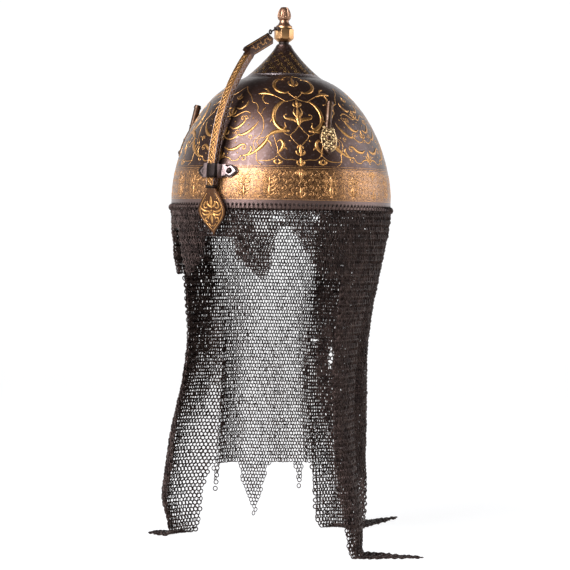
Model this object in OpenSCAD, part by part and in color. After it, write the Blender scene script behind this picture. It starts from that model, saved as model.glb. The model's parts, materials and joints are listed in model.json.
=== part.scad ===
// Kulah khud: a damascened steel helmet with a sliding nasal, two plume
// sockets, a turned finial and a curtain of riveted mail.
// Millimetres, +Z up, origin at the centre of the head opening in the rim
// plane, the nasal towards -Y. Azimuths run from the nasal towards +X.

/* [Skull] */
// Outer radius of the rim
rim_r = 105; // [98:0.5:112]
// Thickness of the steel
wall = 1.6; // [1.2:0.1:2.4]
// Height of the plain upright margin at the rim
margin_h = 8; // [6.5:0.5:10]
// Height where the dome turns into the spire
dome_h = 124; // [116:1:132]
// Radius where the dome turns into the spire
spire_r = 39.5; // [34:0.5:44]
// Height of the flat land at the top of the spire
apex_h = 157; // [152:1:164]
// Radius of the land at the top of the spire
apex_r = 7.2; // [6.6:0.1:8]
// Thickness of steel left under the land
apex_t = 6.5; // [4:0.5:8]

/* [Finial] */
// Radius of the stem that holds the finial
stem_r = 2.4; // [1.8:0.1:2.8]
// Radius of the neck under the knob
neck_r = 4.9; // [4.2:0.1:5.8]
// Height of that neck
neck_h = 3.2; // [2:0.2:5]
// Distance across the corners of the eight-sided knob, halved
knob_r = 9.6; // [8.5:0.1:11]
// Height of the knob
knob_h = 14.4; // [11:0.2:18]
// Largest radius of the bud
bud_r = 6.4; // [5.4:0.1:7.4]
// Height of the bud with its foot
bud_h = 19; // [16:0.5:24]
// Number of flutes on the bud
flute_count = 12; // [8:1:16]
// Width across the flats of the nut inside
nut_w = 10; // [8:0.5:12]
// Height of the nut
nut_h = 3.6; // [3:0.2:5]
// Radius of the washer under the nut
washer_r = 6.4; // [5.4:0.1:7]

/* [Nasal] */
// Radius of the arc that the nasal slides along
arc_r = 172.5; // [165:0.5:180]
// Distance of the bar's middle from the skull at the bracket
arc_rise = 7.5; // [7.2:0.1:8.4]
// Height of the arc's centre
arc_z = 18; // [14:0.5:22]
// Width of the bar
bar_w = 8.2; // [7:0.1:9.5]
// Thickness of the bar
bar_t = 6.4; // [5:0.1:7.5]
// Angle of the bar's lower end above the arc's centre
bar_low = 0; // [-1:0.5:1]
// Angle of the bar's upper end
bar_high = 46; // [42:0.5:48]
// Largest width of the leaf
leaf_w = 30; // [24:0.5:32]
// Length of the leaf
leaf_l = 43; // [38:0.5:46]
// Thickness of the leaf
leaf_t = 2.4; // [1.8:0.1:3]
// Length of the plate at the upper end
terminal_l = 45; // [40:0.5:48]
// Width of that plate
terminal_w = 11.4; // [10:0.2:12.4]
// Thickness of that plate
terminal_t = 3; // [2.2:0.1:3.6]
// Turn of the plate about its own length
terminal_roll = 68; // [60:1:74]
// Lean of the plate from upright
terminal_lean = 66; // [62:1:69]

/* [Bracket] */
// Height of the bracket's middle above the rim
bracket_z = 33.7; // [31:0.1:39]
// Height of the bracket strip
bracket_h = 12.6; // [10:0.2:14]
// Thickness of the strip
bracket_t = 1.8; // [1.4:0.1:2.4]
// Half the span of the two ears
ear_reach = 23; // [20:0.5:26]
// Distance of each rivet from the middle
ear_rivet = 13.8; // [12.5:0.1:15]
// Clearance of the bar in the bracket
slide_gap = 0.35; // [0.25:0.05:0.5]

/* [Rivets] */
// Radius of a rivet's shank
rivet_r = 1.4; // [1:0.1:1.6]
// Radius of a rivet's domed head
rivet_head = 2.5; // [2.1:0.1:3]

/* [Catch] */
// Radius of the wire of the catch
catch_wire = 0.8; // [0.6:0.1:1]
// Length of the catch from its pin to the middle of its ring
catch_l = 11; // [8.5:0.5:11]
// Mean radius of that ring
catch_ring = 1.7; // [1.4:0.1:1.8]
// Slope of the catch as it rests beside the upper plate
catch_lean = 22; // [12:1:24]
// Clearance of the catch on its pin
catch_gap = 0.06; // [0.03:0.01:0.1]

/* [Plume sockets] */
// Azimuth of each socket from the nasal
plume_az = 62; // [54:1:70]
// Height of the foot of the plate
plume_z = 48; // [44:0.5:52]
// Length of the plate
plume_plate_l = 34; // [30:0.5:38]
// Width of the plate
plume_plate_w = 18; // [14:0.5:20]
// Thickness of the plate
plume_plate_t = 1.6; // [1.2:0.1:2.2]
// Tilt of each plate and tube in its own plane, with the top towards the back
plume_tilt = 10.5; // [6:0.5:14]
// Outer radius of the tube
tube_r = 3.1; // [2.8:0.1:3.6]
// Radius of the socket in the tube
socket_r = 2.3; // [1.8:0.1:2.4]
// Depth of that socket
socket_l = 10.5; // [8:0.5:12]
// Length of the tube
tube_l = 24.5; // [21:0.5:28]
// Lean of the tube towards the axis
tube_lean = 10.8; // [8:0.2:13]

/* [Mail] */
// Holes for the mail around the rim
hole_count = 160; // [120:4:176]
// Radius of those holes
hole_r = 1.1; // [0.9:0.05:1.3]
// Height of those holes above the edge
hole_z = 3.6; // [3:0.1:4.2]
// Mean radius of a ring in those holes
ring_r = 3; // [2.6:0.1:3.4]
// Radius of the ring wire
ring_wire = 0.5; // [0.4:0.05:0.6]
// Thickness of the mail as it hangs
mail_t = 2.4; // [1.8:0.1:3]
// Gap between the hanging rings and the mail
mail_gap = 0.3; // [0.2:0.05:0.6]
// Drop from the rim to the surface that the tips touch
drop = 322; // [310:1:330]
// Radius of the mail where it draws in
waist_r = 87; // [82:0.5:94]
// Sideways shift of the waist
waist_shift = 5; // [0:0.5:8]
// Depth of the pleats
pleat = 7; // [3:0.5:9]

/* [Hidden] */
$fn = 48;
fit = 0.05;
seat = 0.04;

// Points of a cubic curve
function curve(p, n) = [for (i = [0:n]) let (t = i / n)
    pow(1 - t, 3) * p[0] + 3 * pow(1 - t, 2) * t * p[1] + 3 * (1 - t) * t * t * p[2] + t * t * t * p[3]];
function tail(list) = [for (i = [1:len(list) - 1]) list[i]];
function smooth(x) = let (c = max(0, min(1, x))) c * c * (3 - 2 * c);

// Outline of the skull from the rim to the apex
shoulder_lean = 21;
dome_curve = [[rim_r, margin_h], [rim_r, margin_h + 44],
    [spire_r + 43 * cos(shoulder_lean), dome_h - 43 * sin(shoulder_lean)], [spire_r, dome_h]];
spire_curve = [[spire_r, dome_h], [spire_r - 8.5 * cos(shoulder_lean), dome_h + 8.5 * sin(shoulder_lean)],
    [apex_r + 2.4, apex_h - 7], [apex_r, apex_h]];
outline = concat([[rim_r, 0]], curve(dome_curve, 26), tail(curve(spire_curve, 14)));
outline_by_height = [for (p = outline) [p[1], p[0]]];
function skull_r(z) = lookup(z, outline_by_height);
function skull_lean(z) = atan((skull_r(z - 2) - skull_r(z + 2)) / 4);

// The outline moved outwards by d, or inwards where d is negative
function moved(d) = let (n = len(outline) - 1) [for (i = [0:n])
    let (a = outline[max(0, i - 1)], b = outline[min(n, i + 1)], v = b - a, l = norm(v))
    i == 0 ? [rim_r + d, 0] : outline[i] + d * [v[1], -v[0]] / l];
apex_seat = apex_h - apex_t;
cavity = [for (p = moved(-wall)) if (p[1] < apex_seat) p];
apex_seat_r = cavity[len(cavity) - 1][0];

// Heights up the finial
neck_z = apex_h + seat;
knob_z = neck_z + neck_h;
knob_side = knob_r * cos(22.5);
knob_lip = 1.2;
shoulder_r = knob_r - 1.8;
bud_z = knob_z + knob_h + seat;
bud_socket = 8;
bud_waist = 4.4;
bud_foot = 6;
flute_r = 1.15;

// Heights of the washer and the nut under the land
washer_t = 1;
washer_z = apex_seat - seat - washer_t;
nut_z = washer_z - seat - nut_h;

// Angles and places along the nasal's arc, whose centre lies behind the axis
bracket_a = asin((bracket_z - arc_z) / arc_r);
arc_back = arc_r * cos(bracket_a) - skull_r(bracket_z) - arc_rise;
function arc_y(a) = arc_back - arc_r * cos(a);
function arc_h(a) = arc_z + arc_r * sin(a);
bracket_span = 2 * asin(bracket_h / 2 / arc_r);
terminal_y = arc_y(bar_high);
terminal_z = arc_h(bar_high);
terminal_rise = 3.6;
terminal_foot = -2.3;
ear_angle = ear_rivet / skull_r(bracket_z) * 180 / PI;

// The catch: a pin across an eye on the knob
eye_z = knob_z + knob_h - 2.6;
pin_y = -knob_side - 3.2;
pin_r = 0.7;
pin_l = 5;
eye_shank = 1.1;
eye_r = 1.6;

// Plume sockets
plate_z = plume_z + plume_plate_l / 2;
tube_foot_z = plume_z + plume_plate_l - 6.5;
tube_foot_r = skull_r(tube_foot_z);
function tilted_az(z) = plume_az + (z - plate_z) * tan(plume_tilt) / skull_r(z) * 180 / PI;

// Azimuths of the holes and rings of the mail, which leave the bar's path free
clear_az = asin((bar_w / 2 + ring_wire + 0.4) / rim_r);
ring_azimuths = [for (i = [0:hole_count - 1]) let (az = (i + 0.5) * 360 / hole_count)
    if (az > clear_az && az < 360 - clear_az) az];

// Mail: azimuth and length of each corner of the hem, from the nasal round
// to the back of the head. Both sides have the same hem.
hang_z = hole_z - ring_r - ring_r - ring_wire - mail_gap;
notch_az = asin((leaf_w / 2 + 2.4) / rim_r);
notch_l = 21;
veil_l = 61;
neck_l = 250;
table_l = drop + hang_z - mail_t / 2;
hem = [[0, notch_l], [notch_az, notch_l + 1], [notch_az + 1.5, 40], [25.4, veil_l], [29, veil_l - 10],
    [33, 16], [39, 11], [44, 20], [52, 44], [62, veil_l], [70, 57], [73, 60], [74.5, neck_l],
    [81, table_l + 6], [87, table_l + 60], [98, table_l + 6], [102, neck_l + 5], [103, neck_l],
    [105, neck_l + 29], [107, neck_l], [120, neck_l], [131, neck_l + 54], [139, neck_l + 6], [141, neck_l],
    [156.5, neck_l], [159, neck_l + 29], [161.5, neck_l], [167, neck_l], [168.5, table_l - 12],
    [171, table_l + 4], [180, table_l + 96]];
// Half the angle left between two panels
seam = 0.06;
function wrapped(az) = az > 180 ? az - 360 : az;
// The tip on one side is ruckled, and so lies shorter on the table
function hem_length(az) = lookup(abs(wrapped(az)), hem) - (wrapped(az) < 0 ? 36 * near(az, 87, 4) : 0);

// Radius of the mail: it leaves the rings, draws in, and flares at the flaps
mail_r = rim_r - wall / 2 - 0.6;
function near(az, middle, width) = let (d = abs(wrapped(az)) - middle) exp(-d * d / (width * width));
function waist(az) = waist_r + waist_shift * cos(az + 55);
function drawn(s) = pow(sin(90 * min(1, s / 152)), 1.4);
function side_flare(az, s) = near(az, 86, 16) * (az < 0
    ? 23 * smooth((s - 110) / 130) - 9 * smooth((s - 275) / 40) : 18 * smooth((s - 180) / 130));
function flare(az, s) = side_flare(az, s) + 34 * near(az, 180, 15) * smooth((s - 150) / 130)
    + 3 * smooth((s - 230) / 60);
function pleats(az) = -pleat * (near(az, 104, 4) + near(az, 167, 3.6)) + 2.2 * cos(az * 9);
function pushed(az) = 3.4 * near(az, 0, 14);
function hang_r(az, s) = mail_r + (waist(az) - mail_r) * drawn(s) + flare(az, s)
    + pleats(az) * smooth((s - 40) / 150) - pushed(az) * smooth(s / 20);
// The flaps swing towards the face as they fall
function swung(az, s) = az + near(az, 88, 14) * (az < 0 ? 10 : -5) * smooth((s - 150) / 150);

// Where a tip lies on the table it turns along this azimuth
function lie_az(az) = abs(az) > 130 ? 176 : az > 0 ? 128 : -60;
bend_r = 5;
bend_l = bend_r * PI / 2;
bend_s = table_l - bend_r;
function bent(s) = max(0, min(bend_l, s - bend_s)) / bend_r * 180 / PI;
function laid(s) = s <= bend_s ? 0 : bend_r * (1 - cos(bent(s))) + max(0, s - bend_s - bend_l);
function fallen(s) = s <= bend_s ? s : bend_s + bend_r * sin(bent(s));
// A point on the mail: depth is 0 on the outer face and 1 on the inner one
function mail_point(az, s, depth) = let (t = (0.5 - depth) * mail_t, s_up = min(s, bend_s),
    r = hang_r(az, s_up) + t * cos(bent(s)), a = swung(az, s_up), l = lie_az(az), d = laid(s))
    [r * sin(a) + d * sin(l), -r * cos(a) - d * cos(l), hang_z - fallen(s) + t * sin(bent(s))];

// Stands its children on the skull at an azimuth and a height: X across,
// Y up the skull and Z straight out of it
module on_skull(az, z) {
    rotate([0, 0, az]) translate([0, -skull_r(z), z]) rotate([90 - skull_lean(z), 0, 0]) children();
}

// Turns the plane of the nasal's arc upright: X is the radius, Z runs across
module on_arc(a) {
    translate([0, arc_back, arc_z]) rotate([90, 0, -90]) rotate([0, 0, a]) children();
}

// A solid that fills the skull's outline, moved outwards by d
module skull_form(d) {
    rotate_extrude($fn = 96) polygon(concat([[0, 0]], moved(d), [[0, apex_h + d]]));
}

module rivet(grip) {
    translate([0, 0, -grip]) cylinder(r = rivet_r, h = grip + 0.5);
    intersection() {
        translate([0, 0, -rivet_head * 0.45]) sphere(r = rivet_head * 1.1);
        cylinder(r = rivet_head * 2, h = rivet_head * 2);
    }
    translate([0, 0, -grip - 0.5]) cylinder(r = rivet_r * 1.4, h = 0.5);
}

module skull() {
    color("saddlebrown") difference() {
        rotate_extrude($fn = 96) polygon(concat([[0, apex_seat], [0, apex_h]],
            [for (i = [len(outline) - 1:-1:0]) outline[i]], cavity, [[apex_seat_r, apex_seat]]));
        translate([0, 0, apex_seat - 1]) cylinder(r = stem_r + fit, h = apex_t + 2);
        for (side = [-1, 1]) {
            on_skull(side * ear_angle, bracket_z) cylinder(r = rivet_r + fit, h = 12, center = true);
            for (z = plume_rivet_heights())
                on_skull(side * tilted_az(z), z) cylinder(r = rivet_r + fit, h = 12, center = true);
        }
        for (az = ring_azimuths) rotate([0, 0, az]) translate([0, -rim_r, hole_z])
            rotate([90, 0, 0]) cylinder(r = hole_r, h = 3 * wall, center = true, $fn = 16);
    }
}

module finial_neck() {
    color("peru") difference() {
        translate([0, 0, neck_z]) rotate_extrude() polygon([[0, 0], [apex_r - 0.6, 0], [apex_r - 0.8, 0.7],
            [neck_r, 1.3], [neck_r, neck_h - seat], [0, neck_h - seat]]);
        translate([0, 0, neck_z - 1]) cylinder(r = stem_r + fit, h = neck_h + 2);
    }
}

// The knob's corners are cut back to a cone at each end
module finial_knob() {
    wide = knob_r + 0.5;
    lip = knob_h - knob_lip;
    color("goldenrod") difference() {
        translate([0, 0, knob_z]) intersection() {
            translate([0, 0, -1]) rotate([0, 0, 22.5]) cylinder(r = knob_r, h = knob_h + 2, $fn = 8);
            rotate_extrude() polygon([[0, 0], [neck_r + 0.6, 0], [wide, 3.6], [wide, lip - wide + shoulder_r],
                [shoulder_r, lip], [shoulder_r, knob_h], [0, knob_h]]);
        }
        translate([0, 0, knob_z - 1]) cylinder(r = stem_r + fit, h = knob_h + 2);
        translate([0, -knob_side, eye_z]) rotate([90, 0, 0])
            cylinder(r = eye_shank + fit, h = 8, center = true);
    }
}

module finial_bud() {
    foot = curve([[shoulder_r, 0.7], [shoulder_r - 1.8, 1.6], [bud_waist, 3.6], [bud_waist, bud_foot]], 8);
    body = curve([[bud_waist, bud_foot], [bud_r * 1.2, bud_foot + 2.6], [bud_r * 1.02, bud_h - 3.6],
        [2.2, bud_h - 0.5]], 16);
    color("goldenrod") translate([0, 0, bud_z]) difference() {
        rotate_extrude() polygon(concat([[0, 0], [shoulder_r, 0]], foot, tail(body), [[0, bud_h]]));
        for (i = [0:flute_count - 1]) rotate([0, 0, i * 360 / flute_count])
            translate([bud_r + flute_r / 2, 0, bud_foot + 2.6]) cylinder(r = flute_r, h = bud_h);
        translate([0, 0, -1]) cylinder(r = stem_r + fit, h = bud_socket + 1);
    }
}

module finial_stem() {
    low = nut_z - 2;
    color("dimgray") translate([0, 0, low]) cylinder(r = stem_r, h = bud_z + bud_socket - 0.3 - low);
}

module finial_washer() {
    color("dimgray") translate([0, 0, washer_z]) difference() {
        cylinder(r = min(washer_r, apex_seat_r - 0.3), h = washer_t);
        translate([0, 0, -1]) cylinder(r = stem_r + fit, h = washer_t + 2);
    }
}

module finial_nut() {
    color("dimgray") translate([0, 0, nut_z]) difference() {
        translate([-nut_w / 2, -nut_w / 2, 0]) cube([nut_w, nut_w, nut_h]);
        translate([0, 0, -1]) cylinder(r = stem_r + fit, h = nut_h + 2);
    }
}

module nasal_bar() {
    color("darkgoldenrod") on_arc(bar_low) rotate_extrude(angle = bar_high - bar_low, $fn = 360)
        translate([arc_r - bar_t / 2, -bar_w / 2]) square([bar_t, bar_w]);
}

// The leaf is a pointed drop, bent along the arc
module leaf_outline() {
    wide = leaf_w / 2;
    middle = -leaf_l * 0.46;
    upper = curve([[bar_w / 2, 0], [bar_w / 2 + 0.5, -7], [wide, -10], [wide, middle]], 12);
    lower = curve([[wide, middle], [wide, -leaf_l * 0.68], [4, -leaf_l * 0.8], [0, -leaf_l]], 12);
    half = concat(upper, tail(lower));
    polygon(concat(half, [for (i = [len(half) - 2:-1:0]) [-half[i][0], half[i][1]]]));
}

module nasal_leaf() {
    color("peru") intersection() {
        on_arc(-30) rotate_extrude(angle = 30 + bar_low, $fn = 360)
            translate([arc_r - leaf_t / 2, -leaf_w]) square([leaf_t, 2 * leaf_w]);
        translate([0, arc_back - arc_r + 30, arc_h(bar_low) - seat]) rotate([90, 0, 0])
            linear_extrude(60) leaf_outline();
    }
}

// The plate at the upper end has pointed ends and two notches in its lower edge
module terminal_outline() {
    w = terminal_w;
    l = terminal_l;
    difference() {
        polygon([[-w * 0.35, 0], [-w / 2, 4], [-w / 2, l - 2.6], [-w * 0.2, l - 1.8], [w * 0.12, l],
            [w / 2, l - 4.5], [w / 2, 6.5], [w * 0.1, 3]]);
        for (y = [12, l - 12]) translate([w / 2 + 0.4, y]) circle(r = 1.3);
    }
}

// Stands its children on the upper end of the bar, with Z along the plate
module on_terminal() {
    translate([0, terminal_y, terminal_z]) rotate([-terminal_lean, 0, 0])
        translate([0, -terminal_rise, terminal_foot]) rotate([0, 0, terminal_roll]) children();
}

module nasal_terminal() {
    color("darkgoldenrod") difference() {
        union() {
            on_terminal() rotate([90, 0, 0]) translate([0, 0, -terminal_t / 2])
                linear_extrude(terminal_t) terminal_outline();
            hull() {
                on_arc(bar_high) translate([arc_r - bar_t / 2, -0.6, -bar_w / 2]) cube([bar_t, 1, bar_w]);
                on_terminal() translate([terminal_w * 0.1, 0, 9])
                    cube([terminal_w * 0.7, terminal_t * 0.9, 1], center = true);
            }
        }
        on_arc(bar_high - 30) rotate_extrude(angle = 30 + seat / 3, $fn = 360)
            translate([arc_r - bar_t, -bar_w]) square([2 * bar_t, 2 * bar_w]);
    }
}

// An ear of the bracket, seen square to the skull
module ear_outline() {
    h = bracket_h / 2;
    difference() {
        polygon([[bar_w / 2, h], [ear_reach * 0.72, h - 0.7], [ear_reach, 0], [ear_reach * 0.72, 0.7 - h],
            [bar_w / 2, -h]]);
        for (y = [-1, 1]) translate([ear_rivet - 2.6, y * (h + 0.6)]) circle(r = 1.7);
    }
}

module nasal_bracket() {
    inside = bar_w / 2 + slide_gap;
    outside = inside + bracket_t;
    top = arc_r + bar_t / 2 + slide_gap;
    color("dimgray") difference() {
        union() {
            intersection() {
                difference() {
                    skull_form(bracket_t);
                    skull_form(seat);
                }
                on_skull(0, bracket_z) translate([0, 0, -15]) linear_extrude(30) {
                    ear_outline();
                    mirror([1, 0]) ear_outline();
                }
            }
            difference() {
                on_arc(bracket_a - bracket_span / 2) rotate_extrude(angle = bracket_span, $fn = 360)
                    difference() {
                        translate([arc_r - 16, -outside]) square([top + bracket_t - arc_r + 16, 2 * outside]);
                        translate([arc_r - 20, -inside]) square([top - arc_r + 20, 2 * inside]);
                    }
                skull_form(seat);
            }
        }
        for (side = [-1, 1]) on_skull(side * ear_angle, bracket_z)
            cylinder(r = rivet_r + fit, h = 12, center = true);
        on_arc(bracket_a - bracket_span) rotate_extrude(angle = 2 * bracket_span, $fn = 360)
            translate([arc_r - 12, -inside]) square([top - arc_r + 12, 2 * inside]);
    }
}

module bracket_rivets() {
    color("black") for (side = [-1, 1]) on_skull(side * ear_angle, bracket_z)
        translate([0, 0, bracket_t + seat]) rivet(bracket_t + wall + 2 * seat);
}

module catch_eye() {
    color("dimgray") difference() {
        union() {
            translate([0, -knob_side + 3, eye_z]) rotate([90, 0, 0]) cylinder(r = eye_shank, h = 3.5);
            for (x = [-1, 1]) translate([x * 1.7 - 0.5, pin_y - eye_r, eye_z - eye_r])
                cube([1, eye_r - pin_y - knob_side - seat, 2 * eye_r]);
            translate([-2.2, -knob_side - seat - 0.7, eye_z - eye_r]) cube([4.4, 0.7, 2 * eye_r]);
        }
        translate([0, pin_y, eye_z]) rotate([0, 90, 0])
            cylinder(r = pin_r + catch_gap, h = 2 * pin_l, center = true);
    }
}

module catch_pin() {
    color("black") translate([0, pin_y, eye_z]) rotate([0, 90, 0])
        cylinder(r = pin_r, h = pin_l, center = true);
}

// The catch turns on the pin, and its ring rests beside the end of the upper plate
module nasal_catch() {
    color("dimgray") translate([0, pin_y, eye_z]) rotate([catch_lean, 0, 0]) difference() {
        union() {
            rotate([0, 90, 0]) cylinder(r = pin_r + 1, h = 1.8, center = true);
            rotate([90, 0, 0]) cylinder(r = catch_wire, h = catch_l - catch_ring);
            translate([0, -catch_l, 0]) rotate([0, 90, 0]) rotate_extrude($fn = 32)
                translate([catch_ring, 0]) circle(r = catch_wire, $fn = 16);
        }
        rotate([0, 90, 0]) cylinder(r = pin_r + catch_gap, h = 6, center = true);
    }
}

function plume_rivet_heights() = [plume_z + 5, plume_z + plume_plate_l * 0.5];

module plate_outline() {
    l = plume_plate_l;
    w = plume_plate_w / 2;
    half = concat(curve([[0, -l / 2], [1.6, -l / 2 + 1], [3.6, -l / 2 + 3], [3, -l / 2 + 8]], 8),
        tail(curve([[3, -l / 2 + 8], [w * 0.7, -l * 0.16], [w, -l * 0.1], [w, l * 0.04]], 8)),
        tail(curve([[w, l * 0.04], [w, l * 0.24], [tube_r + 0.4, l * 0.3], [tube_r + 0.4, l / 2]], 8)));
    polygon(concat(half, [for (i = [len(half) - 1:-1:1]) [-half[i][0], half[i][1]]]));
}

module plume_plate(side) {
    color("peru") difference() {
        intersection() {
            difference() {
                skull_form(plume_plate_t);
                skull_form(seat);
            }
            on_skull(side * plume_az, plate_z) rotate([0, 0, -side * plume_tilt])
                translate([0, 0, -10]) linear_extrude(20) plate_outline();
        }
        for (z = plume_rivet_heights())
            on_skull(side * tilted_az(z), z) cylinder(r = rivet_r + fit, h = 12, center = true);
    }
}

// Stands its children at the foot of a tube, with Z along the tube
module on_tube(side) {
    rotate([0, 0, side * tilted_az(tube_foot_z)]) translate([0, -tube_foot_r, tube_foot_z])
        rotate([-tube_lean, side * plume_tilt, 0]) children();
}

module plume_tube(side) {
    color("darkgoldenrod") difference() {
        on_tube(side) {
            sphere(r = tube_r);
            cylinder(r = tube_r, h = tube_l);
            translate([0, 0, tube_l - 3]) cylinder(r = tube_r + 0.5, h = 1.6);
            translate([0, 0, 3]) cylinder(r = tube_r + 0.4, h = 1.2);
        }
        skull_form(plume_plate_t + seat);
        on_tube(side) translate([0, 0, tube_l - socket_l]) cylinder(r = socket_r, h = tube_l);
    }
}

module plume_rivets(side) {
    color("black") for (z = plume_rivet_heights()) on_skull(side * tilted_az(z), z)
        translate([0, 0, plume_plate_t + seat]) rivet(plume_plate_t + wall + 2 * seat);
}

module hanging_rings() {
    color("dimgray") for (az = ring_azimuths) rotate([0, 0, az])
        translate([0, -rim_r + wall / 2, hole_z - ring_r]) rotate([0, 90, 0])
        rotate_extrude($fn = 24) translate([ring_r, 0]) circle(r = ring_wire, $fn = 16);
}

// Columns of a panel between two azimuths: the hem's corners and steps between them
function hem_steps(a, b, step) = let (corners = [for (p = hem) if (p[0] > a && p[0] < b) p[0]],
    all = concat([a], corners, [b])) concat([for (i = [0:len(all) - 2])
    let (gap = all[i + 1] - all[i], n = ceil(gap / step)) for (k = [0:n - 1]) all[i] + gap * k / n], [b]);

// A sheet of mail along a list of azimuths, cut to the hem. side mirrors its azimuths.
module mail(cols, side, rows, shade) {
    n = len(cols);
    m = rows + 1;
    at = [for (depth = [0, 1], az = cols, k = [0:rows])
        mail_point(side * az, hem_length(side * az) * k / rows, depth)];
    outer = [for (i = [0:n - 2], k = [0:rows - 1]) let (p = i * m + k)
        each [[p, p + m, p + m + 1], [p, p + m + 1, p + 1]]];
    inner = [for (f = outer) [f[0] + n * m, f[2] + n * m, f[1] + n * m]];
    tops = [for (i = [0:n - 2]) let (p = i * m, q = p + n * m) each [[p, q, q + m], [p, q + m, p + m]]];
    hems = [for (i = [0:n - 2]) let (p = i * m + rows, q = p + n * m)
        each [[p, q + m, q], [p, p + m, q + m]]];
    first = [for (k = [0:rows - 1]) let (p = k, q = p + n * m) each [[p, q + 1, q], [p, p + 1, q + 1]]];
    last = [for (k = [0:rows - 1]) let (p = (n - 1) * m + k, q = p + n * m)
        each [[p, q, q + 1], [p, q + 1, p + 1]]];
    faces = concat(outer, inner, tops, hems, first, last);
    color(shade) polyhedron(at, side < 0 ? faces : [for (f = faces) [f[0], f[2], f[1]]]);
}

module mail_veil(side) { mail(hem_steps(seam, 73 - seam, 4), side, 6, "dimgray"); }
module mail_flap(side) { mail(hem_steps(73 + seam, 103 - seam, 2.6), side, 18, "gray"); }
module mail_neck(side) { mail(hem_steps(103 + seam, 139 - seam, 3.2), side, 12, "dimgray"); }
module mail_nape(side) { mail(hem_steps(139 + seam, 167 - seam, 3.2), side, 12, "gray"); }
module mail_back_flap() {
    half = hem_steps(167 + seam, 180, 2.4);
    mail(concat(half, [for (i = [len(half) - 2:-1:0]) 360 - half[i]]), 1, 18, "dimgray");
}

skull();
finial_neck();
finial_knob();
finial_bud();
finial_stem();
finial_washer();
finial_nut();
nasal_bar();
nasal_leaf();
nasal_terminal();
nasal_bracket();
bracket_rivets();
catch_eye();
catch_pin();
nasal_catch();
plume_plate(1);  // plume_plate_left
plume_plate(-1);  // plume_plate_right
plume_tube(1);  // plume_tube_left
plume_tube(-1);  // plume_tube_right
plume_rivets(1);  // plume_rivets_left
plume_rivets(-1);  // plume_rivets_right
hanging_rings();
mail_veil(1);  // mail_veil_left
mail_veil(-1);  // mail_veil_right
mail_flap(1);  // mail_flap_left
mail_flap(-1);  // mail_flap_right
mail_neck(1);  // mail_neck_left
mail_neck(-1);  // mail_neck_right
mail_nape(1);  // mail_nape_left
mail_nape(-1);  // mail_nape_right
mail_back_flap();
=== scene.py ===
# The looks of a kulah khud, a Persian helmet with a sliding nasal and a curtain of mail.
# Lengths in the dictionaries are millimetres and angles are degrees.
# Azimuths run from the nasal, which faces -Y, towards +X, the wearer's left.
import json
import math

import bpy
import numpy as np
from mathutils import Matrix, Vector

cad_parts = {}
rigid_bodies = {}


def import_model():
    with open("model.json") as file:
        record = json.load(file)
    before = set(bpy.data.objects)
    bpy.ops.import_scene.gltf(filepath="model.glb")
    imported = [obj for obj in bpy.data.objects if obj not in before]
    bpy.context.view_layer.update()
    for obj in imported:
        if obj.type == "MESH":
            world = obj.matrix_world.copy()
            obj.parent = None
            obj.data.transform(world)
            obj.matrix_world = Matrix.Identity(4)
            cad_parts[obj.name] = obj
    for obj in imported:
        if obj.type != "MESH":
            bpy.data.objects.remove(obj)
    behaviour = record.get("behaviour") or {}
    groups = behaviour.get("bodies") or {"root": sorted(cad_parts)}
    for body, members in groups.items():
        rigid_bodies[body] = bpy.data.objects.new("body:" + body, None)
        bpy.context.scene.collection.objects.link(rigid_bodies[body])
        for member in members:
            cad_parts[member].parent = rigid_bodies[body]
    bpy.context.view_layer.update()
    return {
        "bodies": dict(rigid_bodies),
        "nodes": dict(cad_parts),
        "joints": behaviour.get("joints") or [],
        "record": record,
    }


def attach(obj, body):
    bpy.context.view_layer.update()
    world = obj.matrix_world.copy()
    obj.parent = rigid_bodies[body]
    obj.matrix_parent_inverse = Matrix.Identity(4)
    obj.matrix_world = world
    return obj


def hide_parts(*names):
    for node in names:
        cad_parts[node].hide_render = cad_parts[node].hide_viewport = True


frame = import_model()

mm = 0.001
nodes = frame["nodes"]
chance = np.random.default_rng(11)
# points nearer than this are one point, in metres
weld = 0.000002


# Small helpers for picking and finishing pieces

def pickNone():
    bpy.ops.object.select_all(action="DESELECT")


def pick(piece):
    pickNone()
    piece.select_set(True)
    bpy.context.view_layer.objects.active = piece


def edit(piece):
    pick(piece)
    bpy.ops.object.mode_set(mode="EDIT")
    bpy.ops.mesh.select_all(action="SELECT")


def leave():
    bpy.ops.object.mode_set(mode="OBJECT")


def settle(piece):
    # the place of a finished piece is in its mesh
    pick(piece)
    bpy.ops.object.transform_apply(location=True, rotation=True, scale=True)


def modify(piece, kind, **settings):
    pick(piece)
    modifier = piece.modifiers.new(kind.title(), kind)
    for name, value in settings.items():
        setattr(modifier, name, value)
    bpy.ops.object.modifier_apply(modifier=modifier.name)


def smooth(piece, angle=35):
    pick(piece)
    bpy.ops.object.shade_smooth_by_angle(angle=math.radians(angle))


def dress(piece, material, body):
    piece.data.materials.clear()
    piece.data.materials.append(material)
    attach(piece, body)


def meshPiece(name, points, faces):
    # points is an array in metres, and faces are all quads
    mesh = bpy.data.meshes.new(name)
    mesh.vertices.add(len(points))
    mesh.vertices.foreach_set("co", np.asarray(points, np.float32).ravel())
    mesh.loops.add(faces.size)
    mesh.loops.foreach_set("vertex_index", np.asarray(faces, np.int32).ravel())
    mesh.polygons.add(len(faces))
    mesh.polygons.foreach_set("loop_start", np.arange(0, faces.size, 4, dtype=np.int32))
    mesh.polygons.foreach_set("use_smooth", np.ones(len(faces), bool))
    mesh.update(calc_edges=True)
    piece = bpy.data.objects.new(name, mesh)
    bpy.context.scene.collection.objects.link(piece)
    return piece


def quadsOf(piece):
    points = np.empty(len(piece.data.vertices) * 3)
    piece.data.vertices.foreach_get("co", points)
    faces = np.empty(len(piece.data.loops), np.int32)
    piece.data.loops.foreach_get("vertex_index", faces)
    return points.reshape(-1, 3), faces.reshape(-1, 4)


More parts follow.
